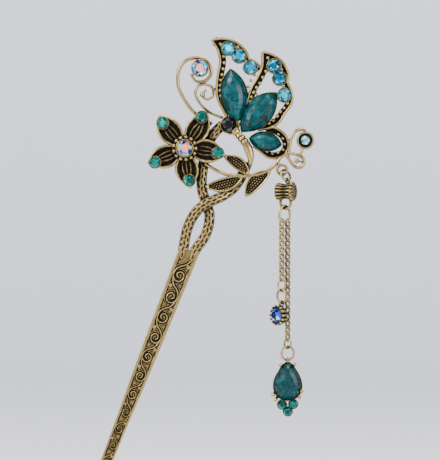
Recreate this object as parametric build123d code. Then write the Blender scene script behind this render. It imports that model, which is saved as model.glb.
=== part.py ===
"""Antique-brass butterfly and flower hair stick with a two-chain dangle, in millimetres.

The stick leans as it is worn, so that the dangle hangs straight down -Z.
+X is to the right seen from the front, +Z up, and the ornament faces -Y. The flat back is on y = 0.
The origin is on the blade's centreline, where the blade splits into two branches.
Heights above the back ("depth") are measured towards -Y.
"""
from build123d import *
from math import asin, atan2, cos, degrees, pi, radians, sin
import os

# --- driving dimensions ---------------------------------------------------------------------
BASE = 1.8                   # height of the casting's base layer above the flat back
RELIEF = 2.8                 # height of the twigs and leaves laid on the base layer
WIRE = 1.0                   # width of the cast twigs and antennae

LEAN = 21.45                 # blade axis from the vertical, degrees
BLADE_LENGTH = 108.5
BLADE_WIDTHS = [(0, 6.5), (7.5, 6.4), (23.6, 5.9), (43, 5.1), (53.7, 4.4), (68.8, 3.75), (90, 2.9)]
BLADE_TIP_WIDTH = 2.0
FIELD_END = 84.0             # where the engraved field runs out
FIELD_MARGIN = 0.75          # polished border beside the field
FIELD_DEPTH = 0.35

BRANCH_WIDTH = 3.3
CROSSING_RISE = 2.0          # how far the front branch lifts over the rear one

WING_BACK = 0.6              # the wings stand this far off the flat back
RIM_OUT = 0.45               # from a wing's rim line outwards
RIM_IN = 1.35                # from the rim line inwards, under the beads
RIM_LIP = 0.4                # half-width of the raised outer lip
RIM_HEIGHT = 0.45            # of the lip above the bead ledge

RHINESTONE_R = 2.0           # SS16 stones on the wings
RHINESTONE_H = 1.3
PETAL_STONE_R = 1.7          # SS13
SCROLL_STONE_R = 1.4
LARGE_STONE_R = 2.35         # SS20 stones on the flower, the antenna and the daisy
LARGE_STONE_H = 1.7
HEAD_STONE_H = 1.9
CUP_WALL = 0.4
CUP_HEIGHT = 0.45
NAVETTE_H = 2.6
SEAT_MARGIN = 0.45           # plate showing round a navette or the pear stone
STONE_GAP = 0.03             # glue line between a stone and its cup

FLOWER = (-1.6, 31.1)
PETALS = [(129, 13.1), (58, 13.3), (-9, 12.9), (-82, 12.5), (-159, 12.4)]   # direction, length
PETAL_STONES = [(131, 10.4), (61.5, 11.1), (-8, 10.3), (-82, 10.0), (-155, 10.2)]   # direction, distance
PETAL_HALF_WIDTH = 3.7
PETAL_FRONT = 3.4
PETAL_RECESS = 0.5
PETAL_RIM = 0.8
FLOWER_DISC_R = 3.6
BEAD_RING_R, BEAD_RING_HEIGHT = 3.9, 1.0
FLOWER_STONE_LIFT = 0.8      # the large stone's seat above the petals

HEAD = (12.0, 38.4)
HEAD_R = 2.3
SPINE_HALF_WIDTH, SPINE_BACK = 1.4, 0.3
ABDOMEN_WIDTH, ABDOMEN_HEIGHT, THORAX_HEIGHT = 2.9, 1.7, 1.9

ANTENNA_BACK, ANTENNA_FRONT = 0.8, BASE
ANTENNA_STONE = (3.1, 56.0)
ANTENNA_BALL, ANTENNA_BALL_R = (3.9, 47.6), 0.75

KNOT, KNOT_TILT = (32.5, 27.3), -30
KNOT_OUTER, KNOT_INNER, KNOT_BALL_R = (2.9, 2.3), (2.0, 1.4), 0.7
SCROLL_STONE, SCROLL_RING_R = (35.7, 33.6), 2.75
LEAF_RIM, LEAF_RECESS = 0.65, 0.4

EYELET = (28.5, 24.5)
EYELET_R, EYELET_HOLE_R, EYELET_T = 1.95, 1.1, 0.7
EYELET_DEPTH = 2.3           # middle of the eyelet's thickness

TOP_RING_R, TOP_RING_WIRE = 1.8, 0.76
TOP_RING_CENTRE = (29.63, -EYELET_DEPTH, 22.81)
TOP_RING_SLOPE = 53.0        # the ring's long direction dips this much to the right
TOP_RING_TURN = 50.0         # its other direction turns back this much

CONNECTOR = (29.6, -2.7, 17.8)
CONNECTOR_R, CONNECTOR_LENGTH, CONNECTOR_FLUTES = 2.72, 6.0, 14
CONNECTOR_TURN = 22.0
LOOP_R, LOOP_WIRE = 0.8, 0.56
LOW_LOOP_R, LOW_LOOP_WIRE = 1.9, 0.9
LOW_LOOP_HEIGHT, LOW_LOOP_TURN = 14.35, -35.0

FORK_RING_WIRE = 0.8
FORK_RING_TURN = 30.0
FORK_RING_FLAT = 2.7         # straight bottom stretch that carries the two chains
FORK_RING_CORNER, FORK_RING_BOTTOM = 0.5, 8.5

LINK_WIRE = 0.5
LINK_PITCH = 2.06
LINK_WIDTH = 2.05
CHAIN_OFFSET = 1.08          # each chain from the middle of the fork ring
LINKS_PER_PIECE = 3          # links that turn together in one chain piece
SHORT_PIECES, LONG_PIECES = 3, 6
LINK_TURN = -60.0            # direction of a chain's first link seen from above
END_LINK_HEIGHT, END_LINK_WIDTH, END_LINK_TURN = 4.3, 2.7, 0.0
RING_WIRE = 0.7
DAISY_RING_R, DAISY_RING_TURN = 2.1, -50.0
LONG_END_R, LONG_END_TURN = 1.45, -45.0
PENDANT_RING_R, PENDANT_RING_TURN = 2.1, 25.0
PLAY = 0.03                  # slack between one link and the next

DAISY_R, DAISY_LENGTH, DAISY_FLUTES = 3.1, 3.0, 14
DAISY_TURN = 48.0            # the daisy's face turns this far to the left
DAISY_STONE_R = LARGE_STONE_R - 0.1
PEAR_R, PEAR_HEIGHT = 4.2, 11.3
PEAR_H = 2.4
PENDANT_STONE_R = 1.35


# --- plane and solid helpers ----------------------------------------------------------------
def slab(sketch, back, front):
    """A sketch drawn in X and Z, made solid between two heights above the back."""
    return extrude(Plane.XZ.offset(back) * sketch, amount=front - back)


def band(points, left, right=None):
    """A strip along a smooth line through points, with rounded ends."""
    right = left if right is None else right
    line = Spline(*points)
    count = 2 * (len(points) - 1)
    sides = {left: [], -right: []}
    for step in range(count + 1):
        here, along = line @ (step / count), line % (step / count)
        across = Vector(-along.Y, along.X)
        for offset, side in sides.items():
            side.append(here + across * offset)
    first, second = sides.values()
    reach = (left + right) / 2
    tip = (first[-1] + second[-1]) / 2 + (line % 1) * reach
    tail = (first[0] + second[0]) / 2 - (line % 0) * reach
    outline = Spline(*first) + ThreePointArc(first[-1], tip, second[-1])
    outline += Spline(*second[::-1]) + ThreePointArc(second[0], tail, first[0])
    return make_face(outline)


def arched(points, width, heights, thickness):
    """A strip in X and Z whose middle height above the back follows heights, given along X."""
    half = thickness / 2
    upper = Spline(*[(x, -depth + half) for x, depth in heights])
    lower = Spline(*[(x, -depth - half) for x, depth in heights])
    side = make_face(upper + lower + Line(upper @ 0, lower @ 0) + Line(upper @ 1, lower @ 1))
    return slab(band(points, width / 2), -4, 8) & extrude(Pos(0, 0, -60) * side, amount=160)


def lens(start, end, width):
    """Two equal arcs that meet in points at start and end."""
    start, end = Vector(*start), Vector(*end)
    along = (end - start).normalized()
    bulge = Vector(-along.Y, along.X) * (width / 2)
    middle = (start + end) / 2
    return make_face(ThreePointArc(start, middle + bulge, end) + ThreePointArc(end, middle - bulge, start))


def stretched(start, end, margin):
    """The same two points, moved apart by margin along their line."""
    start, end = Vector(*start), Vector(*end)
    shift = (end - start).normalized() * margin
    return start - shift, end + shift


def disc(centre, radius):
    return Pos(*centre) * Circle(radius)


def round_stone(centre, radius, seat, height=RHINESTONE_H):
    """A flat-backed round stone: a low girdle and a cone up to its table."""
    girdle = slab(disc(centre, radius), seat, seat + 0.3 * height)
    crown = Plane.XZ.offset(seat + 0.3 * height) * Pos(centre[0], centre[1], 0.35 * height)
    return girdle + crown * Cone(radius, 0.6 * radius, 0.7 * height)


def cup(centre, radius, back, seat):
    """A closed cup whose floor is at seat and whose wall holds a stone of that radius."""
    outer = disc(centre, radius + CUP_WALL)
    wall = outer - disc(centre, radius + STONE_GAP)
    return slab(outer, back, seat) + slab(wall, seat, seat + CUP_HEIGHT)


def navette(start, end, width, seat):
    """A pointed oval stone with a low girdle and a sloping crown."""
    girdle = slab(lens(start, end, width), seat, seat + 0.3 * NAVETTE_H)
    inner = lens(*stretched(start, end, -0.3 * width), 0.5 * width)
    crown = loft([
        Plane.XZ.offset(seat + 0.3 * NAVETTE_H) * lens(start, end, width),
        Plane.XZ.offset(seat + NAVETTE_H) * inner,
    ])
    return girdle + crown


def upright(centre, turn):
    """A vertical plane through centre whose first direction is X turned towards +Y."""
    across = (cos(radians(turn)), sin(radians(turn)), 0)
    return Plane(origin=centre, x_dir=across, z_dir=(across[1], -across[0], 0))


def wire_loop(plane, path, wire):
    """A closed round wire along a path drawn in plane."""
    route = plane * path
    section = Plane(origin=route @ 0, z_dir=route % 0) * Circle(wire / 2)
    return sweep(section, path=route)


def round_ring(plane, radius, wire):
    return plane * Torus(radius, wire / 2)


def oval_path(width, height):
    """The middle line of a straight-sided link, starting on its left side."""
    half, straight = width / 2, height / 2 - width / 2
    return (
        Line((-half, -straight), (-half, straight))
        + ThreePointArc((-half, straight), (0, height / 2), (half, straight))
        + Line((half, straight), (half, -straight))
        + ThreePointArc((half, -straight), (0, -height / 2), (-half, -straight))
    )


def oval_link(centre, turn, width, height, wire):
    return wire_loop(upright(centre, turn), oval_path(width - wire, height - wire), wire)


def fluted_drum(plane, radius, length, flutes, end_ratio):
    """A round drum with lobes along its side, centred on plane and widest at its middle."""
    def section(scale):
        lobes = Circle(radius * scale - radius * 0.1)
        lobe = radius * scale * sin(pi / flutes)
        for index in range(flutes):
            turn = Rot(0, 0, index * 360 / flutes)
            lobes += turn * Pos(radius * scale - lobe, 0) * Circle(lobe)
        return lobes
    core = extrude(plane * section(1), amount=length / 4, both=True)
    for side in (1, -1):
        end = extrude(plane.offset(side * length / 4) * section(end_ratio), amount=side * length / 4)
        core += end
    return core


def largest(shape):
    """The biggest solid left after cuts, without loose slivers."""
    return max(shape.solids(), key=lambda solid: solid.volume)


pieces = {}


# --- blade ----------------------------------------------------------------------------------
def blade_outline(margin, end):
    """The blade's outline, or a smaller one inside it, drawn down its own axis."""
    width_at = [(s, w / 2 - margin) for s, w in BLADE_WIDTHS if s < end]
    closing = BLADE_TIP_WIDTH / 2 - margin if end == BLADE_LENGTH else width_at[-1][1] * 0.6
    corner = end - closing
    start = margin if margin else 0
    side = [(max(s, start), half) for s, half in width_at] + [(corner, closing)]
    right = Spline(*side)
    left = Spline(*[(s, -half) for s, half in side])
    tip = ThreePointArc(right @ 1, (end, 0), left @ 1)
    return Rot(0, 0, -90 - LEAN) * make_face(right + tip + left + Line(left @ 0, right @ 0))


blade = slab(blade_outline(0, BLADE_LENGTH), 0, BASE)
blade -= slab(blade_outline(FIELD_MARGIN, FIELD_END), BASE - FIELD_DEPTH, BASE + 1)
pieces["shaft_blade"] = blade

# --- branches: the rear one climbs behind the flower to the head, the front one crosses it ----
rear_line = [(2.1, 0.6), (3.6, 2.6), (5.0, 5.0), (5.9, 8.0), (6.0, 11.0), (5.0, 14.5), (3.9, 17.7),
             (3.6, 21.0), (4.0, 25.0), (4.6, 29.0), (5.8, 33.0), (7.8, 36.2), (10.0, 38.4)]
front_line = [(-1.7, 1.0), (-1.5, 3.4), (-0.8, 6.3), (0.4, 9.2), (2.4, 12.0), (4.8, 13.9), (7.5, 15.2),
              (10.3, 16.5), (13.0, 18.4), (15.0, 20.8), (16.4, 23.4), (17.6, 26.6)]
crossing = [(-6, BASE / 2), (-3.3, BASE / 2), (-0.8, BASE / 2 + 0.3), (2.0, BASE / 2 + CROSSING_RISE),
            (5.3, BASE / 2 + CROSSING_RISE + 0.1), (8.6, BASE / 2 + CROSSING_RISE),
            (12.2, BASE / 2 + 0.4), (15.0, BASE / 2), (18, BASE / 2), (22, BASE / 2)]
rear_branch = slab(band(rear_line, BRANCH_WIDTH / 2), 0, BASE) - blade
front_branch = arched(front_line, BRANCH_WIDTH, crossing, BASE) - rear_branch - blade
pieces["rear_branch"] = largest(rear_branch)
pieces["front_branch"] = largest(front_branch)

# --- butterfly body: head cup, ringed thorax and long abdomen on a spine plate ---------------
spine = [HEAD, (14.2, 36.0), (16.3, 33.6), (17.8, 31.0), (18.6, 28.4), (18.4, 26.2)]
butterfly_body = slab(band(spine, SPINE_HALF_WIDTH), SPINE_BACK, BASE) + cup(HEAD, HEAD_R, SPINE_BACK, BASE)
abdomen = lens((17.0, 33.6), (18.5, 25.6), ABDOMEN_WIDTH)
butterfly_body += slab(abdomen, BASE, BASE + ABDOMEN_HEIGHT)
butterfly_body += slab(band([(14.6, 35.9), (17.0, 32.8)], 1.35), BASE, BASE + THORAX_HEIGHT)
head_stone = round_stone(HEAD, HEAD_R, BASE, HEAD_STONE_H)
butterfly_body = butterfly_body - rear_branch - front_branch - head_stone
pieces["butterfly_body"] = largest(butterfly_body)
pieces["head_stone"] = head_stone

# --- navette stones ---------------------------------------------------------------------------
navette_points = {
    "navette_left": ((12.5, 55.5), (14.8, 39.6), 8.0),
    "navette_right": ((16.1, 36.6), (26.5, 48.2), 8.0),
    "navette_lower": ((18.6, 34.3), (28.1, 32.3), 5.4),
}
for name, (start, end, width) in navette_points.items():
    pieces[name] = largest(navette(start, end, width, BASE) - butterfly_body)
for name in ("navette_left", "navette_lower"):
    pieces[name] = largest(pieces[name] - pieces["navette_right"])


def seat_plate(name):
    start, end, width = navette_points[name]
    return slab(lens(*stretched(start, end, SEAT_MARGIN), width + 2 * SEAT_MARGIN), WING_BACK, BASE)


def wing_rim(*edges):
    """Bead ledge and raised outer lip along each edge, which runs with the wing on its left."""
    frame = None
    for points in edges:
        ledge = slab(band(points, RIM_IN, RIM_OUT), WING_BACK, BASE)
        lip = slab(band(points, RIM_LIP), BASE, BASE + RIM_HEIGHT)
        frame = ledge + lip if frame is None else frame + ledge + lip
    return frame


# --- right upper wing, whose inner edge is the shared rim between the two wings ---------------
right_wing = wing_rim(
    [(21.6, 36.9), (24.6, 37.6), (27.6, 39.3), (29.2, 41.8), (31.3, 44.9), (31.5, 48.4), (30.1, 51.5)],
    [(30.1, 51.5), (30.2, 54.6), (28.5, 57.9), (25.4, 60.1), (22.5, 60.9)],
    [(22.5, 60.9), (22.3, 56.3), (20.9, 53.0), (19.0, 49.7), (17.9, 46.2)],
)
right_wing += seat_plate("navette_right")
right_stones = [(26.0, 56.6), (27.7, 52.8), (29.2, 47.6)]
# --- left upper wing --------------------------------------------------------------------------
left_wing = wing_rim(
    [(22.0, 55.9), (20.3, 57.7), (18.4, 58.8)],
    [(18.4, 58.8), (17.2, 61.3), (14.1, 64.0), (10.5, 65.0), (7.0, 64.6)],
    [(7.0, 64.6), (8.7, 61.5), (9.4, 58.0), (8.7, 53.8), (8.3, 49.7), (8.8, 46.0), (11.4, 41.0)],
)
left_wing += seat_plate("navette_left")
left_stones = [(11.9, 62.1), (15.2, 59.7), (18.7, 56.2)]
# --- lower wing, a smaller open frame ---------------------------------------------------------
lower_wing = wing_rim(
    [(19.6, 32.0), (21.5, 30.4), (24.5, 28.3), (28.5, 28.7), (30.4, 31.4), (29.6, 35.0), (26.3, 37.5)],
)
lower_wing += seat_plate("navette_lower")

stone_number = 0
wings = {"left_wing_frame": (left_wing, left_stones), "right_wing_frame": (right_wing, right_stones)}
for name, (wing, centres) in wings.items():
    for centre in centres:
        stone_number += 1
        seat = slab(disc(centre, RHINESTONE_R + CUP_WALL), BASE, BASE + 3)
        wing = wing - seat + cup(centre, RHINESTONE_R, WING_BACK, BASE)
        pieces[f"wing_rhinestone_{stone_number}"] = round_stone(centre, RHINESTONE_R, BASE)
    wings[name] = wing
body_parts = [pieces["butterfly_body"], pieces["rear_branch"], pieces["front_branch"], head_stone]
stones = [shape for name, shape in pieces.items() if name.startswith(("navette", "wing_rhinestone"))]


def cut_by(shape, cutters):
    for cutter in cutters:
        shape = shape - cutter
    return largest(shape)


right_wing = cut_by(wings["right_wing_frame"], stones + body_parts)
left_wing = cut_by(wings["left_wing_frame"], stones + body_parts + [right_wing])
lower_wing = cut_by(lower_wing, stones + body_parts + [right_wing, left_wing])
pieces["left_wing_frame"] = left_wing
pieces["right_wing_frame"] = right_wing
pieces["lower_wing_frame"] = lower_wing

# --- flower: five pointed petals in one casting, with a beaded cup at its centre ---------------
def petal_outline(length, half_width, start):
    """One petal along +X from the flower's centre."""
    upper = Spline((start, 0.42 * half_width), (0.45 * length, half_width), (0.8 * length, 0.62 * half_width),
                   (length, 0))
    lower = mirror(upper, Plane.XZ)
    return make_face(upper + lower + Line(upper @ 0, lower @ 0))


flower = slab(disc(FLOWER, FLOWER_DISC_R), BASE, PETAL_FRONT)
for direction, length in PETALS:
    place = Pos(*FLOWER) * Rot(0, 0, direction)
    flower += slab(place * petal_outline(length, PETAL_HALF_WIDTH, 1.5), BASE, PETAL_FRONT)
    recess = place * petal_outline(length - 2 * PETAL_RIM, PETAL_HALF_WIDTH - PETAL_RIM, 3.0)
    flower -= slab(recess, PETAL_FRONT - PETAL_RECESS, PETAL_FRONT + 1)
for number, (direction, distance) in enumerate(PETAL_STONES, 1):
    centre = (FLOWER[0] + distance * cos(radians(direction)), FLOWER[1] + distance * sin(radians(direction)))
    flower += cup(centre, PETAL_STONE_R, BASE, PETAL_FRONT)
    pieces[f"petal_rhinestone_{number}"] = round_stone(centre, PETAL_STONE_R, PETAL_FRONT)
pieces["flower_petals"] = flower
flower_seat = PETAL_FRONT + FLOWER_STONE_LIFT
bead_ring = disc(FLOWER, BEAD_RING_R) - disc(FLOWER, LARGE_STONE_R + CUP_WALL)
pieces["flower_cup"] = (cup(FLOWER, LARGE_STONE_R, PETAL_FRONT, flower_seat)
                        + slab(bead_ring, PETAL_FRONT, PETAL_FRONT + BEAD_RING_HEIGHT))
pieces["flower_rhinestone"] = round_stone(FLOWER, LARGE_STONE_R, flower_seat, LARGE_STONE_H)

# --- antennae: cast wires behind the flower, curled at their ends -------------------------------
large_line = [(6.8, 38.6), (4.2, 40.6), (1.3, 42.3), (-1.6, 46.0), (-3.6, 50.5), (-3.4, 55.5), (-0.9, 58.5),
              (2.8, 59.2), (5.8, 57.4), (6.5, 54.2), (4.6, 52.0), (2.0, 51.9), (0.6, 53.4)]
small_line = [(10.2, 40.6), (7.5, 41.6), (5.2, 43.0), (3.0, 45.2), (1.7, 48.0), (2.4, 50.3), (4.6, 51.0),
              (6.8, 50.0), (7.1, 47.6), (5.4, 46.3), (3.8, 47.2)]
large_antenna = slab(band(large_line, WIRE / 2), ANTENNA_BACK, ANTENNA_FRONT)
large_antenna += cup(ANTENNA_STONE, LARGE_STONE_R, ANTENNA_BACK, BASE)
small_antenna = slab(band(small_line, 0.42), ANTENNA_BACK, ANTENNA_FRONT)
small_antenna += slab(disc(ANTENNA_BALL, ANTENNA_BALL_R), ANTENNA_BACK, BASE + 0.4)
small_antenna += slab(band([(7.0, 49.2), (8.6, 49.6)], 0.4), ANTENNA_BACK, ANTENNA_FRONT)
pieces["antenna_rhinestone"] = round_stone(ANTENNA_STONE, LARGE_STONE_R, BASE, LARGE_STONE_H)
large_antenna = cut_by(large_antenna, [rear_branch])
pieces["large_antenna"] = large_antenna
pieces["small_antenna"] = cut_by(small_antenna, [rear_branch, butterfly_body, left_wing, large_antenna])

# --- vine: a twig with three leaves, a knot loop, a stone scroll and the hanging eyelet ----------
vine_line = [(5.2, 26.0), (8, 24.4), (11, 23.2), (14, 22.8), (17, 22.6), (20, 22.9), (22.5, 23.5),
             (24.7, 24.6), (26.4, 26.2), (28.0, 28.2), (30.0, 29.6)]
vine = slab(band(vine_line, WIRE / 2), BASE, RELIEF)
vine = cut_by(vine, [flower, front_branch, rear_branch, lower_wing])
pieces["vine_stem"] = vine
knot_outline = Pos(*KNOT) * Rot(0, 0, KNOT_TILT) * (Ellipse(*KNOT_OUTER) - Ellipse(*KNOT_INNER))
knot_loop = slab(knot_outline + disc(KNOT, KNOT_BALL_R), BASE, RELIEF)
knot_loop += slab(band([KNOT, (34.9, 26.6)], 0.3), BASE, RELIEF - 0.3)
knot_loop = cut_by(knot_loop, [vine, lower_wing])
pieces["knot_loop"] = knot_loop
scroll_seat = RELIEF - 0.3
scroll = slab(band([(30.7, 30.5), (31.0, 33.2), (32.2, 35.9), (34.4, 36.5)], WIRE / 2), BASE, RELIEF)
scroll += slab(disc(SCROLL_STONE, SCROLL_RING_R) - disc(SCROLL_STONE, SCROLL_STONE_R), BASE, RELIEF)
scroll += cup(SCROLL_STONE, SCROLL_STONE_R, BASE, scroll_seat)
scroll += slab(band([(34.9, 31.4), (34.2, 29.0)], WIRE / 2), BASE, RELIEF)
pieces["scroll_rhinestone"] = round_stone(SCROLL_STONE, SCROLL_STONE_R, scroll_seat)
pieces["stone_scroll"] = cut_by(scroll, [knot_loop, vine, lower_wing, pieces["scroll_rhinestone"]])

eyelet_back = EYELET_DEPTH - EYELET_T / 2
eyelet = slab(disc(EYELET, EYELET_R), eyelet_back, eyelet_back + EYELET_T)
eyelet += slab(band([(27.5, 26.0), (27.3, 27.0)], 0.6), eyelet_back, eyelet_back + EYELET_T)
eyelet -= slab(disc(EYELET, EYELET_HOLE_R), 0, 5)
pieces["hanging_eyelet"] = cut_by(eyelet, [vine, knot_loop])

leaves = {
    "upper_leaf": ((10.6, 28.9), (18.4, 22.9), 3.8),
    "lower_leaf": ((4.8, 19.3), (16.4, 22.3), 4.1),
    "outer_leaf": ((17.2, 16.2), (25.0, 24.3), 4.4),
}
for name, (tip, stalk, width) in leaves.items():
    leaf = slab(lens(tip, stalk, width), BASE, RELIEF)
    leaf -= slab(lens(*stretched(tip, stalk, -2.5 * LEAF_RIM), width - 2 * LEAF_RIM), RELIEF - LEAF_RECESS, RELIEF + 1)
    pieces[name] = cut_by(leaf, [vine, flower, front_branch, pieces["butterfly_body"], pieces["hanging_eyelet"]])

# --- dangle: jump ring and fluted connector -------------------------------------------------------
down_right = Vector(cos(radians(TOP_RING_SLOPE)), 0, -sin(radians(TOP_RING_SLOPE)))
up_right = Vector(-down_right.Z, 0, down_right.X)
back_turn = up_right * cos(radians(TOP_RING_TURN)) + Vector(0, sin(radians(TOP_RING_TURN)), 0)
top_plane = Plane(origin=TOP_RING_CENTRE, x_dir=down_right, z_dir=down_right.cross(back_turn))
pieces["top_ring"] = round_ring(top_plane, TOP_RING_R, TOP_RING_WIRE)
dip = Vector(down_right.Z, back_turn.Z).normalized()
hang = Vector(*TOP_RING_CENTRE) - (down_right * dip.X + back_turn * dip.Y) * TOP_RING_R

drum_plane = upright(CONNECTOR, 90 + CONNECTOR_TURN)
connector = fluted_drum(drum_plane, CONNECTOR_R, CONNECTOR_LENGTH, CONNECTOR_FLUTES, 0.82)
loop_top = hang.Z + TOP_RING_WIRE / 2 + LOOP_WIRE / 2 + PLAY
run = down_right * -dip.Y + back_turn * dip.X
loop_turn = degrees(atan2(run.Y, run.X)) + 90
loop_centre = (hang.X, hang.Y, loop_top - LOOP_R)
connector += round_ring(upright(loop_centre, loop_turn), LOOP_R, LOOP_WIRE)
low_loop_centre = Vector(CONNECTOR[0], CONNECTOR[1], LOW_LOOP_HEIGHT)
connector += round_ring(upright(low_loop_centre, LOW_LOOP_TURN), LOW_LOOP_R, LOW_LOOP_WIRE)
pieces["fluted_connector"] = connector

# --- fork ring: a flat-bottomed oval that carries both chains --------------------------------------
fork_top = low_loop_centre.Z - LOW_LOOP_R + LOW_LOOP_WIRE / 2 + FORK_RING_WIRE / 2 + PLAY
fork_height = fork_top - FORK_RING_BOTTOM
half_flat, corner = FORK_RING_FLAT / 2, FORK_RING_CORNER
half_fork = half_flat + corner
shoulder = fork_height - half_fork
corner_mid = corner * (1 - cos(pi / 4))
fork_path = (
    Line((-half_flat, 0), (half_flat, 0))
    + ThreePointArc((half_flat, 0), (half_fork - corner_mid, corner_mid), (half_fork, corner))
    + Line((half_fork, corner), (half_fork, shoulder))
    + ThreePointArc((half_fork, shoulder), (0, fork_height), (-half_fork, shoulder))
    + Line((-half_fork, shoulder), (-half_fork, corner))
    + ThreePointArc((-half_fork, corner), (corner_mid - half_fork, corner_mid), (-half_flat, 0))
)
fork_plane = upright((low_loop_centre.X - 0.3, low_loop_centre.Y, FORK_RING_BOTTOM), FORK_RING_TURN)
pieces["fork_ring"] = wire_loop(fork_plane, fork_path, FORK_RING_WIRE)


# --- chains: straight runs of oval links, every second one turned a quarter ------------------------
def chain(name, side, count):
    """Hang count pieces of links from one side of the fork ring and return the last link's foot."""
    start = fork_plane.from_local_coords((side * CHAIN_OFFSET, 0, 0))
    link_height = LINK_PITCH + 2 * LINK_WIRE - PLAY
    middle = start.Z + FORK_RING_WIRE / 2 + LINK_WIRE + PLAY - link_height / 2
    for number in range(count):
        links = []
        for link in range(LINKS_PER_PIECE):
            index = number * LINKS_PER_PIECE + link
            centre = (start.X, start.Y, middle - index * LINK_PITCH)
            turn = LINK_TURN + 90 * (index % 2)
            links.append(oval_link(centre, turn, LINK_WIDTH, link_height, LINK_WIRE))
        pieces[f"{name}_{number + 1}"] = Compound(children=links)
    last = middle - (count * LINKS_PER_PIECE - 1) * LINK_PITCH
    return Vector(start.X, start.Y, last - link_height / 2 + LINK_WIRE / 2)


def below(foot, upper_wire, lower_wire, radius):
    """Centre of a ring of that radius hooked on the bottom wire at foot."""
    return foot - Vector(0, 0, radius - upper_wire / 2 - lower_wire / 2 - PLAY)


short_foot = chain("short_chain", -1, SHORT_PIECES)
long_foot = chain("long_chain", 1, LONG_PIECES)

# --- short side: end link, ring and the daisy charm with its stone ---------------------------------
end_reach = (END_LINK_HEIGHT - LINK_WIRE) / 2
end_centre = below(short_foot, LINK_WIRE, LINK_WIRE, end_reach)
pieces["short_end_link"] = oval_link(
    end_centre, END_LINK_TURN, END_LINK_WIDTH, END_LINK_HEIGHT, LINK_WIRE)
daisy_ring_centre = below(end_centre - Vector(0, 0, end_reach), LINK_WIRE, RING_WIRE, DAISY_RING_R)
pieces["daisy_ring"] = round_ring(upright(daisy_ring_centre, DAISY_RING_TURN), DAISY_RING_R, RING_WIRE)
daisy_loop = below(daisy_ring_centre - Vector(0, 0, DAISY_RING_R), RING_WIRE, LOOP_WIRE, LOOP_R)
daisy_centre = daisy_loop - Vector(0.7, 0.35, LOOP_R + DAISY_R - 0.3)
daisy_plane = upright(daisy_centre, -DAISY_TURN)
daisy = fluted_drum(daisy_plane, DAISY_R, DAISY_LENGTH, DAISY_FLUTES, 0.86)
daisy += round_ring(upright(daisy_loop, 90 - DAISY_TURN), LOOP_R, LOOP_WIRE)
face = daisy_plane.offset(DAISY_LENGTH / 2)
stone_seat = face.offset(-0.4)
pocket = extrude(stone_seat * Circle(DAISY_STONE_R + STONE_GAP), amount=2)
pieces["daisy_charm"] = largest(daisy - pocket)
daisy_stone = extrude(stone_seat * Circle(DAISY_STONE_R), amount=0.6)
daisy_stone += stone_seat * Pos(0, 0, 1.1) * Cone(DAISY_STONE_R, 1.4, 1.0)
pieces["daisy_rhinestone"] = daisy_stone

# --- long side: end ring, pendant ring and the pear pendant -----------------------------------------
long_end = below(long_foot, LINK_WIRE, LINK_WIRE, LONG_END_R)
pieces["long_end_link"] = round_ring(upright(long_end, LONG_END_TURN), LONG_END_R, LINK_WIRE)
pendant_ring = below(long_end - Vector(0, 0, LONG_END_R), LINK_WIRE, RING_WIRE, PENDANT_RING_R)
pieces["pendant_ring"] = round_ring(upright(pendant_ring, PENDANT_RING_TURN), PENDANT_RING_R, RING_WIRE)
bail = below(pendant_ring - Vector(0, 0, PENDANT_RING_R), RING_WIRE, LOOP_WIRE, LOOP_R)


def pear_outline(radius, height):
    """A drop with its point up at the origin and its round end below."""
    heart = -height + radius
    side = asin(radius / -heart)
    touch = (radius * cos(side), heart + radius * sin(side))
    swell = (0.62 * touch[0], 0.46 * touch[1])
    right = Spline((0, 0), swell, touch)
    left = Spline((0, 0), (-swell[0], swell[1]), (-touch[0], touch[1]))
    return make_face(right + left + ThreePointArc(touch, (0, -height), (-touch[0], touch[1])))


pear_top = (bail.X, bail.Z - 0.8)
pendant_back = -bail.Y - 1.1
pendant_seat = -bail.Y - 0.3
pear_place = Pos(*pear_top)
plate = Pos(0, SEAT_MARGIN + 0.3) * pear_outline(PEAR_R + SEAT_MARGIN, PEAR_HEIGHT + 2 * SEAT_MARGIN + 0.3)
setting = slab(pear_place * plate, pendant_back, pendant_seat)
pear = slab(pear_place * pear_outline(PEAR_R, PEAR_HEIGHT), pendant_seat, pendant_seat + 0.8)
table = Pos(0, -2.6) * pear_outline(PEAR_R * 0.55, PEAR_HEIGHT * 0.55)
pear += loft([
    Plane.XZ.offset(pendant_seat + 0.8) * pear_place * pear_outline(PEAR_R, PEAR_HEIGHT),
    Plane.XZ.offset(pendant_seat + PEAR_H) * pear_place * table,
])
pieces["pear_stone"] = pear
for number, (x, z) in enumerate([(-1.75, -12.9), (1.75, -12.7), (0.05, -15.0)], 1):
    centre = (pear_top[0] + x, pear_top[1] + z)
    setting += cup(centre, PENDANT_STONE_R, pendant_back, pendant_seat)
    pieces[f"pendant_rhinestone_{number}"] = round_stone(centre, PENDANT_STONE_R, pendant_seat)
prongs = [(-2.2, -0.6), (2.1, -0.3), (-4.6, -9.7), (4.3, -8.7), (-3.7, -11.3), (3.6, -10.5)]
for x, z in prongs:
    centre = (pear_top[0] + x, pear_top[1] + z)
    setting += slab(disc(centre, 0.55), pendant_back, pendant_seat + 1.3)
setting += round_ring(upright(bail, 90), LOOP_R, LOOP_WIRE)
stones = [pear] + [pieces[f"pendant_rhinestone_{number}"] for number in (1, 2, 3)]
pieces["pendant_setting"] = cut_by(setting, stones)

# --- write every piece --------------------------------------------------------------------------------
os.makedirs("parts", exist_ok=True)
for name, shape in pieces.items():
    export_step(shape, f"parts/{name}.step")
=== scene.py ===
"""An antique-brass butterfly and flower hair stick with a two-chain dangle.

Lengths are in millimetres until a mesh is made. A point is (x, z) on the ornament's face, and
depth is its height above the flat back, towards -Y.
"""
import math

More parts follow.
